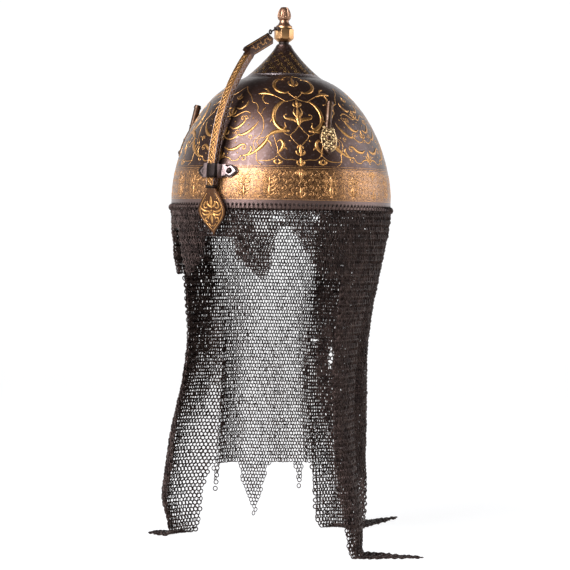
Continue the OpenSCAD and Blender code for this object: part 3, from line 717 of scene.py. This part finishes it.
def makeHoleEdges():
    # a dark ring round each hole of the rim
    middle = skullShape["holeHeight"] + 0.2
    turns = np.radians(np.arange(0, 361, 45))
    edge = stroke([(1.32 * math.sin(t), middle + 1.4 * math.cos(t), 0.52) for t in turns], 1, 0.05)
    ground("rimHoleEdges", [(edge, azimuth) for azimuth in holeAzimuths()], blackIron)


makeArabesque()
makeBand()
makeSpireSprigs()
makeHoleEdges()
print("gold overlay made")


# The finial

finial = {"neckHeight": 3.2, "knobHeight": 14.4, "shoulderRadius": 7.8, "budHeight": 19, "budWaist": 4.4,
          "budRadius": 6.4, "budFoot": 6, "budHole": 2.45, "flutes": 16, "fluteDepth": 0.7, "fluteStart": 2.2,
          "seat": 0.04}


def makeFinial():
    f = finial
    neckBase = skullShape["landHeight"] + f["seat"]
    budBase = neckBase + f["neckHeight"] + f["knobHeight"] + f["seat"]
    neck = merged("finialNeck", "finial_neck", 0.15)
    dress(neck, blackIron, "helmet")
    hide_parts("finial_neck")
    knob = merged("finialKnob", "finial_knob", 0.35)
    dress(knob, giltBrass, "helmet")
    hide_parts("finial_knob")
    foot = bezier((f["shoulderRadius"], 0.7), (6, 1.6), (f["budWaist"], 3.6),
                  (f["budWaist"], f["budFoot"]), 12)
    body = bezier((f["budWaist"], f["budFoot"]), (f["budRadius"] * 1.27, f["budFoot"] + 1.6),
                  (f["budRadius"], f["budHeight"] - 3.2), (3, f["budHeight"] - 0.4), 30)
    section = [(f["budHole"], 0.02), (f["shoulderRadius"] - 0.3, 0.02), (f["shoulderRadius"], 0.3)]
    section += [tuple(p) for p in foot] + [tuple(p) for p in body[1:]]
    section += [(1.2, f["budHeight"] - 0.15), (0.3, f["budHeight"])]
    bud = turned("finialBud", [(r, z + budBase) for r, z in section], 144)
    # the flutes: each is pressed in along the upper bud and runs out at the top
    for vertex in bud.data.vertices:
        height = vertex.co.z / mm - budBase
        radius = math.hypot(vertex.co.x, vertex.co.y) / mm
        if height > f["budFoot"] + f["fluteStart"] and radius > 1:
            turn = math.atan2(vertex.co.y, vertex.co.x) * f["flutes"]
            rise = min(1, (height - f["budFoot"] - f["fluteStart"]) / 1.6)
            press = f["fluteDepth"] * rise * max(0, math.cos(turn)) ** 1.5 * min(1, (radius - 1) / 3)
            vertex.co.x *= 1 - press / radius
            vertex.co.y *= 1 - press / radius
    edit(bud)
    bpy.ops.mesh.fill_holes(sides=0)
    bpy.ops.mesh.normals_make_consistent(inside=False)
    leave()
    smooth(bud, 40)
    dress(bud, budBrass, "helmet")
    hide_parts("finial_bud")


makeFinial()
print("finial made")


# The nasal: its arc lies in the plane of the face, and drawings are laid along it

nasal = {"arcRadius": 172.5, "centreY": 62, "centreZ": 18, "barWidth": 8.2, "barThickness": 6.4, "high": 46,
         "leafWidth": 30, "leafLength": 43, "leafThickness": 2.4, "borderInset": 2.1, "steps": 92,
         "wave": 9.2, "chevron": 3.1, "plateLean": 66, "plateRoll": 68, "plateThickness": 3,
         "plateFoot": (0, -3.6, -2.3)}
barLength = math.radians(nasal["high"]) * nasal["arcRadius"]


def turnedAlong(across, along, far):
    # points at lengths along the nasal's arc and distances from its centre
    angle = along / nasal["arcRadius"]
    behind, up = far * np.cos(angle), far * np.sin(angle)
    return np.stack([across, nasal["centreY"] - behind, nasal["centreZ"] + up], 1) * mm


def onArc(flat, top):
    # [across, along, lift]: top is how far the face lies out from the arc
    across, along, lift = flat.T
    return turnedAlong(across, along, nasal["arcRadius"] + top + lift)


def onBarFace(drawing, side=0):
    # a drawing, [across or inwards, along, lift], on the bar's front, or on its left or right face
    points, faces = drawing
    if side == 0:
        return onArc(points, nasal["barThickness"] / 2), faces
    inwards, along, lift = points.T
    laidOn = turnedAlong(side * (nasal["barWidth"] / 2 + lift), along, nasal["arcRadius"] - inwards)
    return laidOn, faces if side > 0 else faces[:, ::-1]


def makeBar():
    n = nasal
    pickNone()
    start = (0, (n["centreY"] - n["arcRadius"]) * mm, n["centreZ"] * mm)
    bpy.ops.mesh.primitive_plane_add(size=1, location=start)
    bar = bpy.context.object
    bar.name = "nasalBar"
    bar.scale = (n["barWidth"] * mm, n["barThickness"] * mm, 1)
    settle(bar)
    edit(bar)
    bpy.ops.mesh.bevel(offset=0.8 * mm, segments=3, affect="VERTICES")
    bpy.ops.mesh.spin(steps=n["steps"], angle=math.radians(n["high"]), axis=(1, 0, 0), dupli=False,
                      center=(0, n["centreY"] * mm, n["centreZ"] * mm))
    bpy.ops.mesh.select_all(action="SELECT")
    bpy.ops.mesh.remove_doubles(threshold=weld)
    bpy.ops.mesh.normals_make_consistent(inside=False)
    leave()
    smooth(bar, 30)
    dress(bar, nasalSteel, "nasal")
    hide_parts("nasal_bar")


def makeBarOrnament():
    # a dark collar at the lower end, a plait on the front, and a zigzag between lines on each side
    n = nasal
    band = [onBarFace(stroke([(x, 1.4, 2.5) for x in (-half, 0, half)], 2, 0.3), side)
            for half, side in ((4.2, 0), (3.3, -1), (3.3, 1))]
    laid("nasalCollar", band, blackIron, "nasal")
    stations = np.arange(1, barLength - 1, 8)
    plait = []
    for side in (-1, 1):
        points = [(side * 1.75 * math.sin(2 * math.pi * s / n["wave"]), s, 0.85)
                  for s in np.arange(1, barLength - 1, 1.15)]
        plait += [stroke(points, 2, 0.2), stroke([(side * 3.1, s, 0.55) for s in stations], 6)]
    plait += [dot(0, s, 0.55) for s in np.arange(n["wave"] / 4, barLength - 2, n["wave"] / 2)]
    laid("nasalGuilloche", [onBarFace(drawn) for drawn in plait], overlaidGold, "nasal")
    step = n["chevron"]
    zigzag = [((1.9 if i % 2 else -1.9), 1.5 + i * step, 0.7) for i in range(int((barLength - 3) / step))]
    chevrons = [stroke([p, ((p[0] + q[0]) / 2, (p[1] + q[1]) / 2, 0.7), q], 2)
                for p, q in zip(zigzag, zigzag[1:])]
    chevrons += [stroke([(x, s, 0.4) for s in stations], 6) for x in (-2.7, 2.7)]
    sides = [onBarFace(drawn, side) for side in (-1, 1) for drawn in chevrons]
    laid("nasalChevrons", sides, wornSteel, "nasal")


def leafHalfWidth(below):
    # half the leaf's width at a distance below the bar
    n = nasal
    wide, middle = n["leafWidth"] / 2, -n["leafLength"] * 0.46
    upper = bezier((n["barWidth"] / 2, 0), (n["barWidth"] / 2 + 2, -5), (wide - 1.6, -12), (wide, middle), 30)
    lower = bezier((wide, middle), (wide, -n["leafLength"] * 0.68), (4, -n["leafLength"] * 0.8),
                   (0, -n["leafLength"]), 30)
    line = np.vstack([upper, lower[1:]])
    return np.interp(below, -line[:, 1], line[:, 0])


def makeLeaf():
    n = nasal
    rows, columns = 64, 10
    pickNone()
    bpy.ops.mesh.primitive_grid_add(x_subdivisions=columns, y_subdivisions=rows, size=1)
    leaf = bpy.context.object
    leaf.name = "nasalLeaf"
    for vertex in leaf.data.vertices:
        below = (0.5 - vertex.co.y) * n["leafLength"] * 0.995
        across = vertex.co.x * 2 * max(leafHalfWidth(below), 0.05)
        flat = np.array([[across, -below - 0.05, 0]])
        vertex.co = Vector(onArc(flat, n["leafThickness"] / 2)[0])
    modify(leaf, "SOLIDIFY", thickness=n["leafThickness"] * mm, offset=-1)
    edit(leaf)
    bpy.ops.mesh.normals_make_consistent(inside=False)
    leave()
    modify(leaf, "BEVEL", width=0.45 * mm, segments=2, limit_method="ANGLE", angle_limit=math.radians(50))
    smooth(leaf, 40)
    dress(leaf, nasalSteel, "nasal")
    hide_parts("nasal_leaf")


def makeLeafOrnament():
    # a border line and paired half palmettes, drawn for the right half
    n = nasal
    below = np.linspace(5, n["leafLength"] - 5.2, 22)
    half = [stroke([(max(leafHalfWidth(s) - n["borderInset"], 0.0), -s, 0.75) for s in below], 3)]
    lines = [[(5.4, -12.2, 0.6), (7.6, -14, 1.5), (8.4, -16.6, 1.7), (6.6, -18.4, 1.3), (4.9, -17.4, 0.6)],
             [(1.2, -20.8, 0.9), (4.6, -21.4, 1.8), (8.6, -20.6, 2.1), (11.2, -18.6, 1.3),
              (11.5, -16.4, 0.4)],
             [(1.2, -22.4, 0.9), (4.4, -24.2, 1.7), (8, -24.4, 1.8), (10.4, -22.6, 0.6)],
             [(4.4, -26.6, 0.6), (6.9, -27.2, 1.5), (7.2, -29.6, 1.2), (5.2, -30.6, 0.5)],
             [(0.8, -35.2, 0.5), (2.6, -33.8, 1.3), (4.2, -32.2, 0.4)]]
    half += [stroke(line, 4, 0.16) for line in lines]
    beads = [(4.9, -17.6, 0.8), (10.3, -22.4, 0.7), (5, -30.4, 0.7), (6.4, -9.6, 0.6), (10.4, -15.4, 0.6)]
    halves = joined(half + [dot(*bead) for bead in beads])
    middle = [moved(trefoil(10), 0, -17.6), moved(trefoil(9), 0, -23.4, 180), dot(0, -20.6, 1.2),
              dot(0, -34.4, 0.9), stroke([(0, -37.6, 0.8), (0, -38.6, 0.6), (0, -39.6, 0.3)], 3)]
    points, faces = joined([halves, mirrored(halves)] + middle)
    front = (onArc(points, n["leafThickness"] / 2), faces)
    laid("nasalLeafArabesque", [front], overlaidGold, "nasal")


def makeTerminal():
    n = nasal
    terminal = merged("nasalTerminal", "nasal_terminal", 0.35)
    dress(terminal, plateSteel, "nasal")
    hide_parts("nasal_terminal")
    # a wavy stem with half palmettes between two lines, on both faces of the plate
    drawn = [stroke([(1.7 * math.sin(z / 2), z, 0.8) for z in np.arange(3.4, 41, 1.2)], 2, 0.12)]
    for i in range(6):
        leaf = moved(splitLeaf(3.7), 0.2, 5.4 + 6.28 * i, 30)
        bud = moved(splitLeaf(2.4), 0.4, 8 + 6.28 * i, -50)
        drawn += [mirrored(leaf), bud] if i % 2 else [leaf, mirrored(bud)]
    drawn += [stroke([(x, z, 0.45) for z in (4.4, 16, 28, 39.6)], 3, 0.1) for x in (-4.5, 4.5)]
    points, faces = joined(drawn)
    foot = onArc(np.array([[0, barLength, 0]]), 0)[0]
    frame = Matrix.Translation(foot) @ Matrix.Rotation(math.radians(-n["plateLean"]), 4, "X")
    frame = frame @ Matrix.Translation(Vector(n["plateFoot"]) * mm)
    frame = frame @ Matrix.Rotation(math.radians(n["plateRoll"]), 4, "Z")
    across, along, lift = points.T
    out = n["plateThickness"] / 2 + lift
    turn, shift = np.array(frame.to_3x3()), np.array(frame.translation)
    both = [(np.stack([across, side * out, along], 1) * mm @ turn.T + shift, faces[:, ::-side])
            for side in (-1, 1)]
    laid("terminalScrolls", both, bandGold, "nasal")


makeBar()
makeBarOrnament()
makeLeaf()
makeLeafOrnament()
makeTerminal()
print("nasal made")


# The bracket, the plume holders and the small fittings keep the construction's shapes, with broken edges

def makeFittings():
    for name, nodeName, bevel, material, body, slotName in (
            ("nasalBracket", "nasal_bracket", 0.3, strapSteel, "helmet", "bright_steel"),
            ("plumePlateLeft", "plume_plate_left", 0.3, plumeSteel, "helmet", "plume_steel"),
            ("plumePlateRight", "plume_plate_right", 0.3, plumeSteel, "helmet", "plume_steel"),
            ("plumeTubeLeft", "plume_tube_left", 0.2, plumeSteel, "helmet", "plume_steel"),
            ("plumeTubeRight", "plume_tube_right", 0.2, plumeSteel, "helmet", "plume_steel"),
            ("catchEye", "catch_eye", 0.15, blackIron, "helmet", "dark_iron"),
            ("nasalCatch", "nasal_catch", 0.1, blackIron, "catch", "dark_iron")):
        piece = merged(name, nodeName, bevel)
        dress(piece, material, body)
        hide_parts(nodeName)
    for nodeName in ("finial_stem", "finial_washer", "finial_nut", "bracket_rivets", "catch_pin",
                     "plume_rivets_left", "plume_rivets_right"):
        nodes[nodeName].data.materials.clear()
        nodes[nodeName].data.materials.append(plumeSteel if "plume" in nodeName else blackIron)
    # the rim's rings are small and many, so they keep an eighth of the construction's faces
    rings = merged("rimRings", "hanging_rings", flat=1.0)
    modify(rings, "DECIMATE", ratio=0.125)
    smooth(rings, 70)
    dress(rings, brownedWire, "helmet")
    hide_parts("hanging_rings")


# the height of the bracket's middle, and how far its face stands out from the skull
bracketMarks = {"height": 33.7, "lift": 1.84}


def makeBracketMarks():
    # the ears' cut ends are blackened, with a dark stain about each rivet; the dark lines along the ears'
    # lower and upper edges are painted shadow
    b = bracketMarks
    point = [(14.6, 5.2, 1), (18.4, 3.1, 1.7), (21.2, 0.1, 2.1), (18.4, -3, 1.7), (14.6, -5.1, 1.2)]
    half = [stroke(point, 4),
            # painted shadow: a dark line along the lower and the upper edge of each ear
            stroke([(6.4, -5.4, 0.9), (9.4, -5.1, 1.7), (11.2, -4, 1.5), (14.6, -5.1, 1.2)], 3),
            stroke([(9, 5.3, 0.6), (11.2, 4.2, 1.3), (14.6, 5.2, 1)], 3), dot(13.8, 0, 3.1, 0.12)]
    points, faces = joined(half + [mirrored(drawn) for drawn in half])
    onEars = (onDome(points + (0, b["height"], b["lift"]), 0), faces)
    laid("bracketMarks", [onEars], blackIron, "helmet")


plumeLattice = {"halfWidth": 7.6, "halfHeight": 12.4, "height": 64, "lift": 1.68, "azimuth": 62, "tilt": 10.5,
                "palmette": 3.4, "rowPitch": 2.9}


def makePlumeLattices():
    # small palmettes in staggered rows inside a border, raised on each plate
    p = plumeLattice
    drawn = [stroke([(p["halfWidth"] * math.sin(t), p["halfHeight"] * math.cos(t), 0.8)
                     for t in np.linspace(0, 2 * math.pi, 25)], 2)]
    for row in range(8):
        z = -11 + row * p["rowPitch"]
        half = 6.6 * math.sqrt(1 - (z / 13) ** 2)
        for x in ((-4.4, 0, 4.4) if row % 2 else (-6.4, -2.2, 2.2, 6.4)):
            if abs(x) <= half:
                drawn.append(moved(trefoil(p["palmette"]), x, z))
    points, faces = joined(drawn)
    for side, name in ((-1, "plumeLatticeRight"), (1, "plumeLatticeLeft")):
        tilted = moved((points * (1, 0.94, 1), faces), 0, 0, -p["tilt"] * side)[0]
        onPlate = (onDome(tilted + (0, p["height"], p["lift"]), p["azimuth"] * side), faces)
        laid(name, [onPlate], paleGold, "helmet")


makeFittings()
makeBracketMarks()
makePlumeLattices()
print("fittings made")


# The mail: rings in rows down a sheet that hangs from the rim

mail = {"drop": 322, "sheet": 2.4, "hang": -3.2, "top": 103.6, "waist": 87, "waistShift": 5, "drawn": 152,
        "pleat": 7, "neck": 250, "notch": 9.54, "shorter": 36, "bendRadius": 5, "flareLeft": 18,
        "flareRight": 23, "flareBack": 34, "longest": 420, "ringRadius": 2.15, "wireRadius": 0.5,
        "thicker": 1.24, "rowPitch": 3.4, "firstRow": 0.2, "tilt": 10, "yaw": 44, "unevenTilt": 5,
        "unevenYaw": 8, "unevenPlace": 0.2}
# each panel from one azimuth to another, with the rings in one of its rows
mailPanels = {"mail_veil_left": (0, 73, 51), "mail_veil_right": (-73, 0, 51),
              "mail_flap_left": (73, 103, 24), "mail_flap_right": (-103, -73, 24),
              "mail_neck_left": (103, 139, 21), "mail_neck_right": (-139, -103, 21),
              "mail_nape_left": (139, 167, 17), "mail_nape_right": (-167, -139, 17),
              "mail_back_flap": (167, 193, 24)}
# where the mail is torn: azimuth, length down, and half the tear's width and height
tears = [(33.5, 6.3, 6.5, 4), (53, 6.3, 4, 4), (176, 143, 3, 11), (-171, 127, 3, 2.6)]
# the length down to the table
tableLength = mail["drop"] + mail["hang"] - mail["sheet"] / 2


def hemLength(azimuth):
    # the length down to the hem: its corners are alike on both sides, but the right side's tip is shorter
    neck, notch, table = mail["neck"], mail["notch"], tableLength
    corners = [(0, 21), (notch, 22), (notch + 1.5, 40), (25.4, 61), (29, 51), (33, 16), (39, 11), (44, 20),
               (52, 44), (62, 61), (70, 57), (73, 60), (74.5, neck), (81, table + 6), (87, table + 60),
               (98, table + 6), (102, neck + 5), (103, neck), (105, neck + 29), (107, neck), (120, neck),
               (131, neck + 54), (139, neck + 6), (141, neck), (156.5, neck), (159, neck + 29), (161.5, neck),
               (167, neck), (168.5, table - 12), (171, table + 4), (180, table + 96)]
    at, length = zip(*corners)
    shorter = np.where(azimuth < 0, mail["shorter"] * nearby(azimuth, 87, 4), 0)
    return np.interp(np.abs(azimuth), at, length) - shorter


def eased(x):
    # from 0 to 1 with soft ends
    x = np.clip(x, 0, 1)
    return x * x * (3 - 2 * x)


def nearby(azimuth, middle, width):
    # 1 at an azimuth on either side, and less away from it
    return np.exp(-((np.abs(azimuth) - middle) / width) ** 2)


def hangRadius(azimuth, down):
    # the sheet draws in to its waist, then the side flaps and the back flap stand out
    m = mail
    waist = m["waist"] + m["waistShift"] * np.cos(np.radians(azimuth + 55))
    drawn = np.sin(math.pi / 2 * np.clip(down / m["drawn"], 0, 1)) ** 1.4
    right = m["flareRight"] * eased((down - 110) / 130) - 9 * eased((down - 275) / 40)
    left = m["flareLeft"] * eased((down - 180) / 130)
    flare = nearby(azimuth, 86, 16) * np.where(azimuth < 0, right, left)
    flare = flare + m["flareBack"] * nearby(azimuth, 180, 15) * eased((down - 150) / 130)
    flare = flare + 3 * eased((down - 230) / 60)
    pleats = -m["pleat"] * (nearby(azimuth, 104, 4) + nearby(azimuth, 167, 3.6))
    pleats = pleats + 2.2 * np.cos(np.radians(azimuth * 9))
    return (m["top"] + (waist - m["top"]) * drawn + flare + pleats * eased((down - 40) / 150)
            - 3.4 * nearby(azimuth, 0, 14) * eased(down / 20))


def mailPoint(azimuth, down):
    # the middle of the sheet at an azimuth and a length down from the rim, bent where it meets the table
    azimuth = (azimuth + 180) % 360 - 180
    bend = mail["bendRadius"]
    bendStart = tableLength - bend
    bendLength = bend * math.pi / 2
    bent = np.clip(down - bendStart, 0, bendLength) / bend
    outAlong = bend * (1 - np.cos(bent)) + np.maximum(0, down - bendStart - bendLength)
    outAlong = np.where(down <= bendStart, 0, outAlong)
    fallen = np.where(down <= bendStart, down, bendStart + bend * np.sin(bent))
    above = np.minimum(down, bendStart)
    radius = hangRadius(azimuth, above)
    swing = nearby(azimuth, 88, 14) * np.where(azimuth < 0, 10, -5) * eased((above - 150) / 150)
    lie = np.radians(np.where(np.abs(azimuth) > 130, 176, np.where(azimuth > 0, 128, -60)))
    a = np.radians(azimuth + swing)
    return np.stack([radius * np.sin(a) + outAlong * np.sin(lie),
                     -radius * np.cos(a) - outAlong * np.cos(lie), mail["hang"] - fallen], 1)


def unit(v):
    return v / np.linalg.norm(v, axis=1)[:, None]


def ringPlaces(low, high, count):
    # azimuth, length down and odd or even row of each ring of a panel, without the torn ones
    rows = np.arange(int(mail["longest"] / mail["rowPitch"]))
    row, column = np.meshgrid(rows, np.arange(count), indexing="ij")
    down = (mail["firstRow"] + row * mail["rowPitch"]).ravel()
    odd = (row % 2).ravel()
    azimuth = (low + (column + 0.25 + 0.5 * (row % 2)) * (high - low) / count).ravel()
    folded = (azimuth + 180) % 360 - 180
    kept = hemLength(folded) >= down
    for middle, depth, halfWidth, halfHeight in tears:
        across = np.radians((folded - middle + 180) % 360 - 180) * mail["waist"]
        kept &= (across / halfWidth) ** 2 + ((down - depth) / halfHeight) ** 2 > 1
    return azimuth[kept], down[kept], odd[kept]


def makeMail():
    m = mail
    rings = {}
    for kind, wire in (("fine", m["wireRadius"]), ("thick", m["wireRadius"] * m["thicker"])):
        pickNone()
        bpy.ops.mesh.primitive_torus_add(major_segments=10, minor_segments=4,
                                         major_radius=m["ringRadius"] * mm, minor_radius=wire * mm)
        rings[kind] = bpy.context.object
    count = 0
    for nodeName, (low, high, across) in mailPanels.items():
        azimuth, down, odd = ringPlaces(low, high, across)
        place = mailPoint(azimuth, down)
        along = unit(mailPoint(azimuth + 0.2, down) - mailPoint(azimuth - 0.2, down))
        below = unit(mailPoint(azimuth, down + 0.5) - mailPoint(azimuth, down - 0.5))
        out = unit(np.cross(below, along))
        along = np.cross(out, below)
        flat = eased((down - tableLength + 8) / 6)
        lean = np.where(odd > 0, 1, -1)
        tilt = np.radians(lean * m["tilt"] + chance.normal(0, m["unevenTilt"], len(down)))
        # the rings turn less where the sheet is pulled straight, and where it lies flat
        pulled = 1 - 0.55 * nearby(azimuth, 88, 22) - 0.45 * nearby(azimuth, 180, 14)
        yaw = np.radians(lean * m["yaw"] * pulled * (1 - 0.6 * flat)
                         + chance.normal(0, m["unevenYaw"], len(down)))
        # each ring leans about its row, then turns about the line down the sheet, every second row back
        up = -below * np.cos(tilt)[:, None] + out * np.sin(tilt)[:, None]
        face = out * np.cos(tilt)[:, None] + below * np.sin(tilt)[:, None]
        side = along * np.cos(yaw)[:, None] + face * np.sin(yaw)[:, None]
        face = np.cross(side, up)
        turns = np.stack([side, up, face], 2)
        place = place + chance.normal(0, m["unevenPlace"], place.shape)
        ring = rings["thick" if "flap" in nodeName else "fine"]
        points, faces = copiesOf(ring, turns, place * mm)
        piece = meshPiece(nodeName.replace("mail_", "ringMail_"), points, faces)
        dress(piece, brownedWire, "helmet")
        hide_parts(nodeName)
        count += len(down)
    for ring in rings.values():
        bpy.data.objects.remove(ring)
    print("rings in the mail:", count)


makeMail()
print("mail made")


# Floor, backdrop, light and camera

studio = {"floor": -322, "sweepRadius": 900, "sweepBehind": 2600, "sweepFront": 9000, "sweepHeight": 2300,
          "sweepWidth": 9000, "world": 0.055, "walls": 0.75, "paint": "#f2f2f2", "lift": 0.8, "glow": 1.12}
view = {"azimuth": 35, "distance": 1800, "height": -15, "aimAcross": 5.2, "aimHeight": -72.2, "roll": 1.0,
        "lens": 118.4}
# soft boxes: azimuth, height, distance, width and height in millimetres, brightness and colour
lamps = {"key": (-8, 32, 1700, 1200, 1400, 15.5, "#f0f4ff"),
         "side": (130, 20, 1900, 1700, 1200, 3.4, "#f2f6ff")}


def sweepFloor():
    # a floor that curves up into a wall behind the helmet, as the camera sees it
    g = studio
    radius = g["sweepRadius"]
    line = [(-g["sweepFront"], 0), (g["sweepBehind"] - radius, 0)]
    line += [(g["sweepBehind"] - radius + radius * math.sin(math.radians(t)),
              radius - radius * math.cos(math.radians(t))) for t in range(5, 91, 5)]
    line.append((g["sweepBehind"], g["sweepHeight"]))
    half = g["sweepWidth"] / 2
    points = [(x, far, up + g["floor"]) for far, up in line for x in (-half, half)]
    faces = [[2 * i, 2 * i + 1, 2 * i + 3, 2 * i + 2] for i in range(len(line) - 1)]
    floor = meshPiece("paleSweep", np.array(points) * mm, np.array(faces))
    floor.data.transform(Matrix.Rotation(math.radians(view["azimuth"]), 4, "Z"))
    return floor


def makeStage():
    floor = sweepFloor()
    # matt white paint: a plain white ground, lifted where it is seen, with its shadow kept
    paint = {"Base Color": linear(studio["paint"])}
    material, tree, shader, place = started("paintedBoard", Roughness=0.9, **paint)
    rays = add(tree, "LightPath").outputs
    direct = add(tree, "Math", {0: rays["Is Camera Ray"], 1: rays["Is Glossy Ray"]}, operation="MAXIMUM")
    seen = add(tree, "Math", {0: direct, 1: rays["Is Transmission Ray"]}, operation="MAXIMUM")
    lifted = add(tree, "Math", {0: seen, 1: studio["lift"]}, operation="MULTIPLY")
    glow = add(tree, "Emission", {"Color": (1, 1, 1, 1), "Strength": studio["glow"]})
    both = add(tree, "MixShader", {0: lifted, 1: shader, 2: glow})
    output = next(node for node in tree.nodes if node.type == "OUTPUT_MATERIAL")
    tree.links.new(outputOf(both), output.inputs["Surface"])
    floor.data.materials.append(material)


def makeLight(name, azimuth, height, far, wide, tall, radiance, colour):
    # a soft box aimed at the skull: its power follows from its size, so that its brightness stays as given
    a, h = math.radians(azimuth), math.radians(height)
    lamp = bpy.data.lights.new(name, "AREA")
    lamp.shape = "RECTANGLE"
    lamp.size = wide * mm
    lamp.size_y = tall * mm
    lamp.energy = radiance * math.pi * wide * tall * mm * mm
    lamp.color = linear(colour)[:3]
    piece = bpy.data.objects.new(name, lamp)
    bpy.context.scene.collection.objects.link(piece)
    piece.location = Vector((math.sin(a) * math.cos(h), -math.cos(a) * math.cos(h), math.sin(h))) * far * mm
    aim = Vector((0, 0, 20 * mm))
    piece.rotation_euler = (aim - piece.location).to_track_quat("-Z", "Y").to_euler()


def makeWorld():
    # a dark room with pale walls low down on every side but the camera's
    world = bpy.data.worlds.new("studio")
    bpy.context.scene.world = world
    world.use_nodes = True
    tree = world.node_tree
    tree.nodes.clear()
    a = math.radians(view["azimuth"])
    way = add(tree, "TexCoord").outputs["Generated"]
    up = add(tree, "SeparateXYZ", {"Vector": way}).outputs["Z"]
    low = add(tree, "MapRange", {"Value": up, "From Min": 0.34, "From Max": 0.22})
    towards = add(tree, "VectorMath", {0: way, 1: (math.sin(a), -math.cos(a), 0)}, operation="DOT_PRODUCT")
    aside = add(tree, "MapRange", {"Value": towards, "From Min": 0.66, "From Max": 0.36})
    wall = add(tree, "Math", {0: low, 1: aside}, operation="MULTIPLY")
    strength = add(tree, "MapRange", {"Value": wall, "To Min": studio["world"], "To Max": studio["walls"]})
    room = add(tree, "Background", {"Color": (0.97, 0.98, 1, 1), "Strength": strength})
    add(tree, "OutputWorld", {"Surface": room})


def makeCamera():
    # the axis stands a little left of the picture's middle and leans, so the camera is turned and rolled
    v = view
    a = math.radians(v["azimuth"])
    place = Vector((math.sin(a) * v["distance"], -math.cos(a) * v["distance"], v["height"])) * mm
    target = Vector((math.cos(a) * v["aimAcross"], math.sin(a) * v["aimAcross"], v["aimHeight"])) * mm
    camera = bpy.data.cameras.new("camera")
    camera.lens = v["lens"]
    camera.clip_end = 100
    piece = bpy.data.objects.new("camera", camera)
    bpy.context.scene.collection.objects.link(piece)
    turn = (target - place).to_track_quat("-Z", "Y").to_matrix()
    turn = turn @ Matrix.Rotation(math.radians(v["roll"]), 3, "Z")
    piece.matrix_world = Matrix.Translation(place) @ turn.to_4x4()
    bpy.context.scene.camera = piece


makeStage()
makeWorld()
for name, lamp in lamps.items():
    makeLight(name, *lamp)
makeCamera()
bpy.context.scene.view_settings.view_transform = "Standard"
print("stage, light and camera made")
